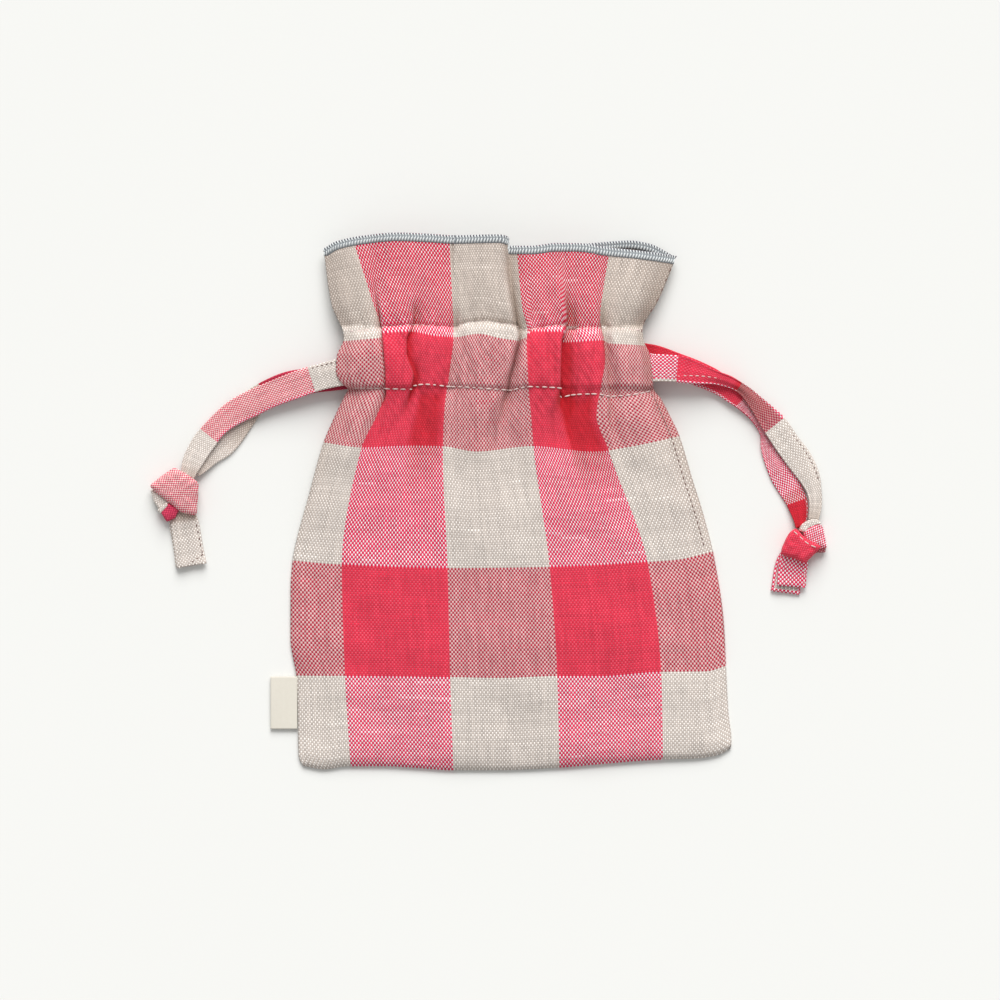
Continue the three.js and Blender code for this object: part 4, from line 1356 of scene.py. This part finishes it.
def tape_cloth(width: Array, length: Array, stretches: Sequence[Stretch], rim: float, scale: float) -> Array:
    """Work out cloth coordinates along a tape.

    Each stretch starts in its own patch of the check and keeps the tape's own lengths, so threads
    run along and across the tape.

    Args:
        width: Places across the tape.
        length: Places along it, in the shape of width.
        stretches: Its colours in order; the last one runs on to the end.
        rim: The place across at which the rims start.
        scale: How much finer the weave is than the linen's own.

    Returns:
        Cloth coordinates with an axis of two added.
    """
    starts = np.concatenate([[0.0], np.cumsum([part.length for part in stretches])[:-1]])
    k = np.clip(np.searchsorted(starts, length, side="right") - 1, 0, len(stretches) - 1)
    patches = np.array([[(rim_cloth or part.cloth).value
                         for rim_cloth in (part.low_rim, part.cloth, part.high_rim)] for part in stretches])
    place = (width > -rim).astype(int) + (width > rim).astype(int)
    return patches[k, place] + scale * np.stack([width, length - starts[k] - 40.0], axis=-1)


def catmull_rom(points: Array, spacing: float) -> Array:
    """Pass a centripetal spline through points and space its points evenly.

    Args:
        points: (n, 3) points to pass through.
        spacing: The distance wanted between neighbours.

    Returns:
        (m, 3) points along the curve.
    """
    ends = np.vstack([2 * points[0] - points[1], points, 2 * points[-1] - points[-2]])
    gaps = np.sqrt(np.linalg.norm(np.diff(ends, axis=0), axis=1))
    pieces = []
    w = np.linspace(0.0, 1.0, 24, endpoint=False)[:, None]
    for i in range(len(points) - 1):
        p, g = ends[i:i + 4], gaps[i:i + 3]
        start = (p[1] - p[0]) / g[0] - (p[2] - p[0]) / (g[0] + g[1]) + (p[2] - p[1]) / g[1]
        stop = (p[2] - p[1]) / g[1] - (p[3] - p[1]) / (g[1] + g[2]) + (p[3] - p[2]) / g[2]
        m1, m2 = start * g[1], stop * g[1]
        pieces.append((2 * w ** 3 - 3 * w ** 2 + 1) * p[1] + (w ** 3 - 2 * w ** 2 + w) * m1
                      + (3 * w ** 2 - 2 * w ** 3) * p[2] + (w ** 3 - w ** 2) * m2)
    curve = np.vstack(pieces + [points[-1:]])
    length = lengths_along(curve)
    even = np.linspace(0.0, length[-1], max(2, int(round(length[-1] / spacing)) + 1))
    return points_at(even, length, curve)


@dataclass(frozen=True)
class ThreadLine:
    """A line of stitches on a tape, through pairs of share of the length and place across."""

    points: Points
    dark: bool = False
    pitch: float = 2.3
    length: float = 1.5


@dataclass(frozen=True)
class Strand:
    """A free stretch of tape: from the casing to its knot, or a tail.

    The route is points from the exit. The widths are pairs of share of the length and share of the
    tape's width, the rolls pairs of share of the length and degrees, and the shades pairs of share of
    the length and depth of painted shade. The weave is how much finer it is than the linen's own.
    """

    name: str
    node: str
    route: Points
    colours: tuple[Stretch, ...]
    widths: Points = ((0.0, 1.0), (1.0, 1.0))
    rolls: Points = ((0.0, 0.0), (1.0, 0.0))
    threads: tuple[ThreadLine, ...] = ()
    shades: Points = ((0.0, 0.0), (1.0, 0.0))
    weave: float = 1.0


LEFT_FRONT_ROUTE: Points = (
    (-56.45, 51.1, 8.7), (-60.5, 50.8, 8.2), (-64.9, 50.0, 7.5), (-73.4, 47.8, 6.4), (-81.4, 45.0, 5.3),
    (-89.4, 42.0, 4.3), (-97.2, 38.4, 3.4), (-104.0, 34.9, 2.7), (-109.9, 30.4, 2.3), (-114.3, 25.5, 2.3),
    (-117.9, 20.3, 2.9), (-120.6, 15.0, 3.6), (-122.4, 9.6, 4.1),
)
LEFT_BACK_ROUTE: Points = (
    (-56.45, 49.6, 3.2), (-60.4, 49.1, 3.6), (-66.0, 48.3, 3.8), (-74.6, 47.2, 3.4), (-84.4, 45.4, 2.6),
    (-92.1, 42.0, 1.8), (-97.2, 38.2, 1.3), (-100.6, 33.3, 1.0), (-104.0, 28.1, 0.75), (-108.2, 23.1, 0.7),
    (-113.2, 19.1, 0.9), (-119.8, 11.6, 2.2),
)
RIGHT_FRONT_ROUTE: Points = (
    (52.2, 54.6, 8.6), (57.6, 52.4, 8.2), (63.0, 52.1, 7.8), (70.0, 51.6, 7.3), (75.0, 50.4, 6.8),
    (80.0, 49.2, 6.3), (85.0, 48.0, 5.7), (89.4, 46.5, 5.0), (94.2, 43.6, 4.2), (100.0, 37.6, 3.4),
    (103.9, 32.9, 2.9), (107.3, 28.7, 2.5), (111.3, 22.8, 2.2), (115.9, 16.6, 2.0), (119.9, 9.9, 2.0),
    (121.7, 4.6, 2.3), (122.3, -0.6, 3.0), (121.4, -7.0, 4.0),
)
RIGHT_BACK_ROUTE: Points = (
    (52.2, 57.2, 3.6), (57.0, 56.6, 4.2), (61.0, 55.8, 4.3), (70.0, 52.6, 4.0), (77.0, 49.8, 3.5),
    (82.0, 47.6, 3.0), (86.8, 44.6, 2.4), (91.0, 40.8, 1.9), (95.4, 36.4, 1.5), (99.3, 32.0, 1.1),
    (102.3, 27.2, 0.75), (103.6, 21.0, 0.62), (107.0, 14.0, 0.62), (111.7, 6.6, 0.62), (115.1, 0.2, 0.9),
    (116.3, -5.4, 1.5), (116.4, -10.0, 2.4),
)


@dataclass(frozen=True)
class Fold:
    """One fold of tape in a knot, seen from above: its outline, its heights and how its threads run."""

    outline: Points
    low: float
    high: float
    cloth: Cloth
    threads: float
    slope: tuple[float, float] = (0.0, 0.0)
    plump: float = 0.7

    def solid(self) -> Solid:
        """Fill the outline as a soft closed lump.

        The outline is evenly spaced and rounded with a running mean. At turn f from -90 to 90 degrees
        its ring is the outline drawn in to the middle by cos f to the power 0.4, at half the
        thickness times sin f to the power plump, on a plane that slopes.

        Returns:
            The closed lump.
        """
        corners = np.array(self.outline)
        ring = np.vstack([corners, corners[:1]])
        length = lengths_along(ring)
        ring = points_at(np.linspace(0.0, length[-1], 96, endpoint=False), length, ring)
        for _ in range(5):
            ring = (np.roll(ring, 1, axis=0) + 2 * ring + np.roll(ring, -1, axis=0)) / 4
        middle = ring.mean(axis=0)
        turn = np.radians(np.linspace(-90.0, 90.0, 19))[1:-1]
        drawn = np.cos(turn) ** 0.4
        height = np.sign(turn) * np.abs(np.sin(turn)) ** self.plump
        plan = middle + (ring - middle) * drawn[:, None, None]
        level = (self.high + self.low) / 2 + (self.high - self.low) / 2 * height[:, None]
        off = plan - middle
        level = level + off @ np.array(self.slope)
        level = level + 0.14 * soft_waves(plan[..., 0], plan[..., 1], 3.4, 17) * (height[:, None] > 0)
        points = np.concatenate([plan, np.maximum(level, 0.03)[..., None]], axis=-1)
        faces = tube_faces(*points.shape[:2])
        ends = np.array([[*middle, max(self.low, 0.03)], [*middle, self.high]])
        points = np.vstack([points.reshape(-1, 3), ends])
        turned = np.radians(self.threads)
        away = points[:, :2] - middle
        along = away @ np.array([np.cos(turned), np.sin(turned)])
        across = away @ np.array([-np.sin(turned), np.cos(turned)])
        uv = np.array(self.cloth.value) + np.stack([across, along], axis=-1)
        return Solid(points, faces, uv)


@dataclass
class TiedTape:
    """One string's free part: two strands, the knot and two tails."""

    side: str
    slot_name: str
    linen: bpy.types.Material
    finishes: Finishes
    strands: tuple[Strand, ...]
    tails: tuple[Strand, ...]
    folds: tuple[Fold, ...]
    knot_threads: tuple[Points, ...] = ()
    width: float = 10.0
    thickness: float = 1.15
    rim: float = 1.1

    def lay(self, path: Array, strand: Strand) -> tuple[Array, Array, Array]:
        """Work out how a tape lies along its path.

        Its sides turn about the path by the roll: cos roll times the level side plus sin roll times
        upwards.

        Args:
            path: Points along the tape's middle.
            strand: The tape.

        Returns:
            Lengths along the path, unit vectors to the tape's left, and shares of its width.
        """
        length = lengths_along(path)
        share = length / length[-1]
        level = unit(np.cross(UPWARDS, unit(np.gradient(path, axis=0))))
        roll = np.radians(smooth_line(strand.rolls, share))[:, None]
        sides = np.cos(roll) * level + np.sin(roll) * UPWARDS
        return length, sides, smooth_line(strand.widths, share)

    def ribbon(self, path: Array, strand: Strand, hem_end: bool) -> bpy.types.Object:
        """Sweep the folded tape along a path.

        Two shallow waves run across the tape, a fine groove marks where each edge is folded in, and
        where the tape is drawn narrow it gets thicker and creased. Two rings close together part
        each colour from the next.

        Args:
            path: Points along the tape's middle.
            strand: The tape.
            hem_end: Whether the end is turned in and so a little thicker.

        Returns:
            The tape.
        """
        section = tape_section(self.width, self.thickness, self.rim)
        length, sides, narrow = self.lay(path, strand)
        changes = np.cumsum([part.length for part in strand.colours])[:-1]
        far = np.sort(np.concatenate([length, changes - 0.03, changes + 0.03]))
        far = far[(far >= 0.0) & (far <= length[-1])]
        path, sides = points_at(far, length, path), points_at(far, length, sides)
        narrow = np.interp(far, length, narrow)[:, None]
        shape = np.broadcast_to(section, (len(far), *section.shape)).copy()
        flat = shape[..., 0].copy()
        shape[..., 0] *= narrow * (1 + 0.02 * np.sin(far / 3.1))[:, None]
        groove = np.exp(-(((np.abs(section[:, 0]) - self.width / 2 + self.rim) / 0.4) ** 2)) * 0.16
        shape[..., 1] -= np.sign(section[:, 1]) * groove
        crush = 0.5 * (1 - narrow) * np.cos(2 * np.pi * flat / self.width * 1.5)
        wave = 0.12 * np.sin(flat / 1.9 + far[:, None] / 6.0)
        shape[..., 1] = shape[..., 1] * (1 + 0.9 * (1 - narrow)) + crush + wave
        if hem_end:
            thick = 1 + 0.35 * smooth_step(far[-1] - 3.0, far[-1] - 2.5, far)
            shape[..., 1] *= thick[:, None]
        place = np.broadcast_to(far[:, None], flat.shape)
        cloth = tape_cloth(flat, place, strand.colours, self.width / 2 - self.rim, strand.weave)
        solid = sweep(path, sides, shape, cloth)
        # Painted shade along the tape, where it goes into the casing, under the other strand or into the
        # knot; the end fans get none.
        shade = np.repeat(smooth_line(strand.shades, far / length[-1]), flat.shape[1])
        solid.shade = np.concatenate([shade, np.zeros(len(solid.points) - len(shade))])
        return solid.piece(strand.name, self.linen)

    def stitches(self, path: Array, strand: Strand, line: ThreadLine, name: str) -> bpy.types.Object:
        """Sew a line of stitches on a tape, through places given by share along and place across."""
        length, sides, narrow = self.lay(path, strand)
        corners = np.array(line.points)
        even = np.linspace(0.0, 1.0, 300)
        along, off = points_at(even, np.linspace(0.0, 1.0, len(corners)), corners).T
        tangent = unit(np.gradient(path, axis=0))
        middle, side, above = (points_at(along * length[-1], length, part)
                               for part in (path, sides, np.cross(tangent, sides)))
        tight = np.interp(along * length[-1], length, narrow)[:, None]
        run = middle + off[:, None] * tight * unit(side)
        run = run + (self.thickness / 2 * (1.9 - 0.9 * tight) + 0.02) * unit(above)
        far = lengths_along(run)
        marks = np.arange(line.length / 2, far[-1], line.pitch)
        place, up, way = (points_at(marks, far, part)
                          for part in (run, unit(above), np.gradient(run, axis=0)))
        way = unit(way - up * np.sum(way * up, axis=1, keepdims=True))
        thread = self.finishes.dark_thread if line.dark else self.finishes.pale_thread
        piece = beads(place, way, unit(up), line.length, 0.18).piece(name, thread)
        return piece

    def knot(self) -> list[bpy.types.Object]:
        """Put the knot's folds together, with the stitches that show on them."""
        solid = self.folds[0].solid()
        for part in self.folds[1:]:
            solid = solid.join(part.solid())
        piece = solid.piece(f"{self.side}_knot_folds", self.linen)
        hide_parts(f"{self.side}_knot")
        made = [piece]
        for line in self.knot_threads:
            ends = np.array(line)
            place = (ends[:-1] + ends[1:]) / 2
            near = np.linalg.norm(solid.points[None, :, :2] - place[:, None], axis=2) < 0.5
            top = np.where(near, solid.points[None, :, 2], 0.0).max(axis=1)
            way = unit(np.column_stack([np.diff(ends, axis=0), np.zeros(len(place))]))
            up = np.broadcast_to(UPWARDS, way.shape)
            long = float(np.linalg.norm(np.diff(ends, axis=0), axis=1).mean()) * 0.82
            sewn = beads(np.column_stack([place, top + 0.05]), way, up, long, 0.2)
            stitches = sewn.piece(f"{self.side}_knot_stitches", self.finishes.pale_thread)
            made.append(stitches)
        return made

    def build(self) -> list[bpy.types.Object]:
        """Build the string's free part: the knot, the strands, the tails and their stitches."""
        made = self.knot()
        for tape in (*self.tails, *self.strands):
            is_tail = tape in self.tails
            path = catmull_rom(np.array(tape.route), 0.9)
            ribbon = self.ribbon(path, tape, hem_end=is_tail)
            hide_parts(tape.node)
            made.append(ribbon)
            for i, line in enumerate(tape.threads):
                made.append(self.stitches(path, tape, line, f"{tape.name}_stitches_{i + 1}"))
            if is_tail:
                continue
        return made


@dataclass
class SideLabel:
    """The folded label in the left seam, bare."""

    finishes: Finishes
    seam: float = -79.6
    fold: float = -89.9
    low: float = -88.5
    high: float = -68.0
    height: float = 0.95
    layer: float = 0.34
    gap: float = 0.26
    bend: float = 0.5

    def build(self) -> bpy.types.Object:
        """Fold the label: a hairpin section in the x-z plane, carried up the pouch with a slight curl."""
        rows = np.linspace(self.low, self.high, 40)
        straight = np.linspace(self.seam, self.fold + self.bend, 14)
        turn = np.linspace(0.0, np.pi, 9)[1:-1]
        x = np.concatenate([straight, self.fold + self.bend - self.bend * np.sin(turn), straight[::-1]])
        z = np.concatenate([np.full(14, self.gap), self.gap * np.cos(turn), np.full(14, -self.gap)])
        across, up = np.meshgrid(x, rows)
        out = (self.seam - across) / (self.seam - self.fold)
        curl = 0.35 * out ** 2 * np.sin((up - self.low) / 9.0)
        middle = np.stack([across, up, self.height + z[None] + curl], axis=-1)
        solid = cloth_sheet(middle[:, ::-1], np.stack([across, up], axis=-1)[:, ::-1], self.layer)
        piece = solid.piece("folded_label", self.finishes.label)
        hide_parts("side_label")
        return piece


TAIL_WIDTHS: Points = ((0.0, 0.8), (0.35, 1.1), (1.0, 1.16))


def left_string(finishes: Finishes) -> TiedTape:
    """Set out the left string: a natural and brown tape, tied close to the casing."""
    side_dashes = ThreadLine(((0.3, 4.0), (0.85, 4.3)), dark=True, pitch=2.6, length=1.1)
    end_dashes = ThreadLine(((0.97, -3.6), (0.93, 0.4), (0.84, 4.2)), dark=True, pitch=2.2, length=1.1)
    return TiedTape(
        side="left", slot_name="pale_tape", linen=finishes.left_tape, finishes=finishes,
        strands=(
            Strand("left_front_strand", "left_tape_front_strand", LEFT_FRONT_ROUTE,
                   (Stretch(18.0, Cloth.NATURAL), Stretch(46.5, Cloth.BROWN, high_rim=Cloth.PINK),
                    Stretch(60.0, Cloth.NATURAL)),
                   ((0.0, 1.05), (0.6, 1.0), (0.74, 0.84), (0.82, 0.9), (0.9, 0.85), (1.0, 0.5)),
                   ((0.0, 0.0), (0.55, 0.0), (0.72, 9.0), (0.86, 0.0), (1.0, 0.0)),
                   (ThreadLine(((0.08, -4.1), (0.2, -4.1)), dark=True, pitch=1.9, length=0.9),),
                   ((0.0, 0.6), (0.07, 0.0), (0.9, 0.0), (0.97, 0.6))),
            Strand("left_back_strand", "left_tape_back_strand", LEFT_BACK_ROUTE,
                   (Stretch(37.0, Cloth.RED), Stretch(60.0, Cloth.NATURAL)),
                   ((0.0, 1.0), (0.8, 1.0), (0.92, 0.8), (1.0, 0.5)),
                   shades=((0.0, 0.3), (0.4, 0.3), (0.55, 1.0), (0.7, 0.7), (0.84, 0.1), (0.93, 0.5))),
        ),
        tails=(
            Strand("left_front_tail", "left_tape_front_tail",
                   ((-124.0, -2.6, 2.4), (-123.6, -7.0, 2.3), (-122.8, -12.0, 2.0), (-121.8, -18.4, 1.85),
                    (-120.7, -24.9, 1.85)),
                   (Stretch(60.0, Cloth.NATURAL),), TAIL_WIDTHS, threads=(side_dashes, end_dashes),
                   shades=((0.0, 1.0), (0.14, 1.0), (0.28, 0.0), (1.0, 0.0)), weave=0.92),
            Strand("left_back_tail", "left_tape_back_tail",
                   ((-124.6, -2.6, 1.2), (-124.4, -7.0, 1.0), (-123.4, -12.0, 0.75), (-122.3, -18.4, 0.62),
                    (-121.3, -24.2, 0.62)),
                   (Stretch(60.0, Cloth.NATURAL),), TAIL_WIDTHS),
        ),
        folds=(
            Fold(((-136.8, 4.8), (-134.2, 4.4), (-128.4, -0.4), (-128.6, -2.4), (-132.9, -3.7),
                  (-135.6, 0.3)), 0.3, 4.0, Cloth.NATURAL, 62.0),
            Fold(((-134.2, -3.3), (-130.5, 0.3), (-129.2, -1.2), (-132.8, -4.6)),
                 0.5, 4.8, Cloth.NATURAL, 40.0),
            Fold(((-129.8, -0.2), (-125.2, -2.6), (-127.2, -6.3), (-130.4, -7.8), (-132.8, -3.9)),
                 0.6, 4.9, Cloth.RED, 35.0, plump=0.5),
            Fold(((-126.5, 0.0), (-119.4, -2.0), (-119.6, -5.6), (-124.5, -5.8)),
                 0.3, 2.4, Cloth.NATURAL, 10.0),
            Fold(((-127.5, 13.6), (-132.4, 10.2), (-137.4, 6.3), (-133.6, 3.0), (-128.6, -0.9),
                  (-125.0, -4.0), (-118.7, -5.3), (-118.2, 1.2), (-117.8, 7.6), (-121.6, 10.3),
                  (-125.2, 12.4)),
                 1.6, 6.9, Cloth.BROWN, 38.0, slope=(0.05, 0.06)),
        ),
    )


def right_string(finishes: Finishes) -> TiedTape:
    """Set out the right string: a red tape that shows its other face towards the knot."""
    return TiedTape(
        side="right", slot_name="red_tape", linen=finishes.right_tape, finishes=finishes,
        strands=(
            Strand("right_front_strand", "right_tape_front_strand", RIGHT_FRONT_ROUTE,
                   (Stretch(16.6, Cloth.PINK, low_rim=Cloth.NATURAL),
                    Stretch(25.4, Cloth.RED, low_rim=Cloth.PINK),
                    Stretch(20.6, Cloth.BROWN, high_rim=Cloth.PINK), Stretch(60.0, Cloth.NATURAL)),
                   ((0.0, 1.05), (0.16, 1.08), (0.24, 0.82), (0.307, 0.55), (0.357, 0.48), (0.4, 0.4),
                    (0.48, 0.6), (0.54, 0.82), (0.6, 0.97), (0.74, 1.03), (0.8, 0.92), (0.85, 0.78),
                    (0.89, 0.6), (1.0, 0.4)),
                   ((0.0, 0.0), (0.24, 0.0), (0.36, 16.0), (0.44, -8.0), (0.56, -6.0), (1.0, 0.0)),
                   (ThreadLine(((0.05, -2.9), (0.165, -2.7), (0.25, -1.0), (0.36, 0.9)),
                               pitch=2.4, length=1.7),
                    ThreadLine(((0.67, 3.7), (0.86, 3.7)), dark=True, pitch=2.1, length=0.9)),
                   ((0.0, 0.7), (0.06, 0.0), (0.37, 0.0), (0.4, 0.8), (0.54, 0.4), (0.6, 0.0),
                    (0.9, 0.1), (1.0, 0.8)), weave=0.84),
            Strand("right_back_strand", "right_tape_back_strand", RIGHT_BACK_ROUTE,
                   (Stretch(45.6, Cloth.RED, low_rim=Cloth.PINK),
                    Stretch(14.0, Cloth.PINK, high_rim=Cloth.NATURAL),
                    Stretch(31.4, Cloth.PINK), Stretch(40.0, Cloth.RED, high_rim=Cloth.PINK)),
                   ((0.0, 1.0), (0.3, 0.92), (0.4, 0.7), (0.47, 0.45), (0.54, 0.34), (0.6, 0.34),
                    (0.655, 0.48), (0.73, 0.74), (0.8, 0.92), (0.9, 0.85), (1.0, 0.36)),
                   ((0.0, 0.0), (0.36, 0.0), (0.48, -16.0), (0.6, -8.0), (0.68, 0.0), (1.0, 0.0)),
                   shades=((0.0, 1.0), (0.1, 0.5), (0.2, 0.2), (0.84, 0.0), (0.87, 0.6), (1.0, 0.9)),
                   weave=0.9),
        ),
        tails=(
            Strand("right_front_tail", "right_tape_front_tail",
                   ((114.6, -18.6, 3.6), (113.9, -22.6, 3.2), (113.3, -27.2, 2.2), (112.9, -33.0, 1.9)),
                   (Stretch(60.0, Cloth.PINK),), TAIL_WIDTHS, weave=0.8,
                   threads=(ThreadLine(((0.45, 4.1), (0.95, 4.3)), pitch=2.4, length=1.4),)),
            Strand("right_back_tail", "right_tape_back_tail",
                   ((113.6, -18.6, 1.8), (112.8, -22.6, 1.2), (111.6, -28.0, 0.8), (110.6, -35.4, 0.62)),
                   (Stretch(15.9, Cloth.NATURAL, low_rim=Cloth.PINK, high_rim=Cloth.PINK),
                    Stretch(9.0, Cloth.PINK)), TAIL_WIDTHS, weave=0.8),
        ),
        folds=(
            Fold(((122.6, -16.2), (126.6, -17.2), (126.1, -19.7), (122.4, -19.8)),
                 0.4, 3.4, Cloth.BROWN, 20.0),
            Fold(((115.6, -11.2), (116.6, -8.9), (118.6, -7.4), (121.2, -6.3), (123.6, -6.8),
                  (124.6, -8.4), (121.0, -9.4), (117.6, -12.0)), 0.8, 5.6, Cloth.NATURAL, 30.0),
            Fold(((117.2, -12.0), (119.0, -9.9), (121.4, -8.3), (123.8, -8.0), (125.4, -10.2),
                  (126.1, -13.9), (126.9, -17.8), (124.0, -18.2), (118.6, -15.4)),
                 0.5, 5.9, Cloth.PINK, 62.0, slope=(-0.08, 0.0)),
            Fold(((114.6, -9.9), (112.2, -11.7), (110.8, -13.9), (108.8, -18.6), (109.0, -20.5),
                  (113.7, -21.9), (118.2, -23.9), (121.1, -21.0), (124.9, -17.3), (121.4, -15.6),
                  (118.2, -13.8), (116.3, -12.0)),
                 0.6, 7.3, Cloth.RED, 30.0, slope=(0.0, 0.04)),
        ),
        knot_threads=(((113.6, -11.3), (115.5, -13.0), (117.6, -15.0), (119.9, -16.7), (122.6, -17.7)),),
    )


def dress_casing_runs() -> None:
    """Give the tapes inside the casing their linen."""
    dress_node("left_tape_casing_run", ALL_NATURAL)
    dress_node("right_tape_casing_run", ALL_RED)


# Studio

@dataclass(frozen=True)
class Studio:
    """Pale floor, soft light from beyond the mouth, and a camera straight above.

    The camera's distance, what it sees across and its aim are in metres. The sun comes from beyond
    the mouth, spread over many degrees, so that its shadows are soft.
    """

    distance: float = 2.5
    seen: float = 0.39
    aim: tuple[float, float] = (-0.0006, 0.0008)
    floor_colour: Colour = linear(236, 237, 235)
    sky: float = 0.47
    sun: float = 3.4
    sun_from: tuple[float, float, float] = (0.12, 1.3, 1.0)
    sun_spread: float = 44.0
    sensor: float = 36.0
    floor_reach: float = 3000.0
    floor_level: float = -0.05

    def camera(self) -> None:
        """Put the camera above the pouch, so that the frame is the photograph's 390 mm wide."""
        data = bpy.data.cameras.new("camera")
        data.sensor_width = self.sensor
        data.lens = self.sensor * self.distance / self.seen
        data.clip_end = 20.0
        camera = bpy.data.objects.new("camera", data)
        camera.location = (*self.aim, self.distance)
        bpy.context.scene.collection.objects.link(camera)
        bpy.context.scene.camera = camera

    def floor(self) -> None:
        """Lay the floor just under the pouch."""
        shader = Shader("floor")
        x, y = shader.object_place()
        tone = shader.noise(x * 0.004, y * 0.004, 1.0, detail=2.0)
        colour = shader.shade(self.floor_colour, 0.985 + 0.02 * tone)
        material = shader.finish(colour, 0.95, 0.0)
        signs = ((-1, -1), (1, -1), (1, 1), (-1, 1))
        points = np.array([[across * self.floor_reach, along * self.floor_reach, self.floor_level]
                           for across, along in signs])
        mesh = bpy.data.meshes.new("floor")
        mesh.from_pydata((points * MM).tolist(), [], [(0, 1, 2, 3)])
        mesh.materials.append(material)
        plane = bpy.data.objects.new("floor", mesh)
        bpy.context.scene.collection.objects.link(plane)

    def light(self) -> None:
        """Light the pouch with a pale sky and one broad lamp from beyond the mouth."""
        world = bpy.data.worlds.new("sky")
        world.use_nodes = True
        background = world.node_tree.nodes["Background"].inputs
        background["Color"].default_value = (1.0, 0.995, 0.985, 1.0)
        background["Strength"].default_value = self.sky
        bpy.context.scene.world = world
        lamp = bpy.data.lights.new("key", "SUN")
        lamp.angle = float(np.radians(self.sun_spread))
        lamp.energy = self.sun
        lamp.color = (1.0, 0.99, 0.975)
        key = bpy.data.objects.new("key", lamp)
        x, y, z = self.sun_from
        key.location = (x, y, z)
        key.rotation_euler = (0.0, float(np.arctan2(np.hypot(x, y), z)), float(np.arctan2(y, x)))
        bpy.context.scene.collection.objects.link(key)

    def build(self) -> None:
        """Set the stage."""
        bpy.context.scene.view_settings.view_transform = "Standard"
        self.camera()
        self.floor()
        self.light()


def report(pieces: Iterable[bpy.types.Object]) -> None:
    """Log each piece with its face count and its lowest and highest point."""
    for piece in pieces:
        places = np.empty(3 * len(piece.data.vertices))
        piece.data.vertices.foreach_get("co", places)
        low, high = places[2::3].min() / MM, places[2::3].max() / MM
        log.info("%s: %d faces, %.2f to %.2f mm high", piece.name, len(piece.data.polygons), low, high)


def main() -> None:
    """Build the studio, the tapes, the sewn pouch and the label."""
    logging.basicConfig(level=logging.INFO, format="%(message)s")
    Studio().build()
    finishes = Finishes.make()
    for string in (left_string(finishes), right_string(finishes)):
        report(string.build())
    report(SewnPouch(finishes).build())
    report([SideLabel(finishes).build()])
    dress_casing_runs()


if __name__ == "__main__":
    main()
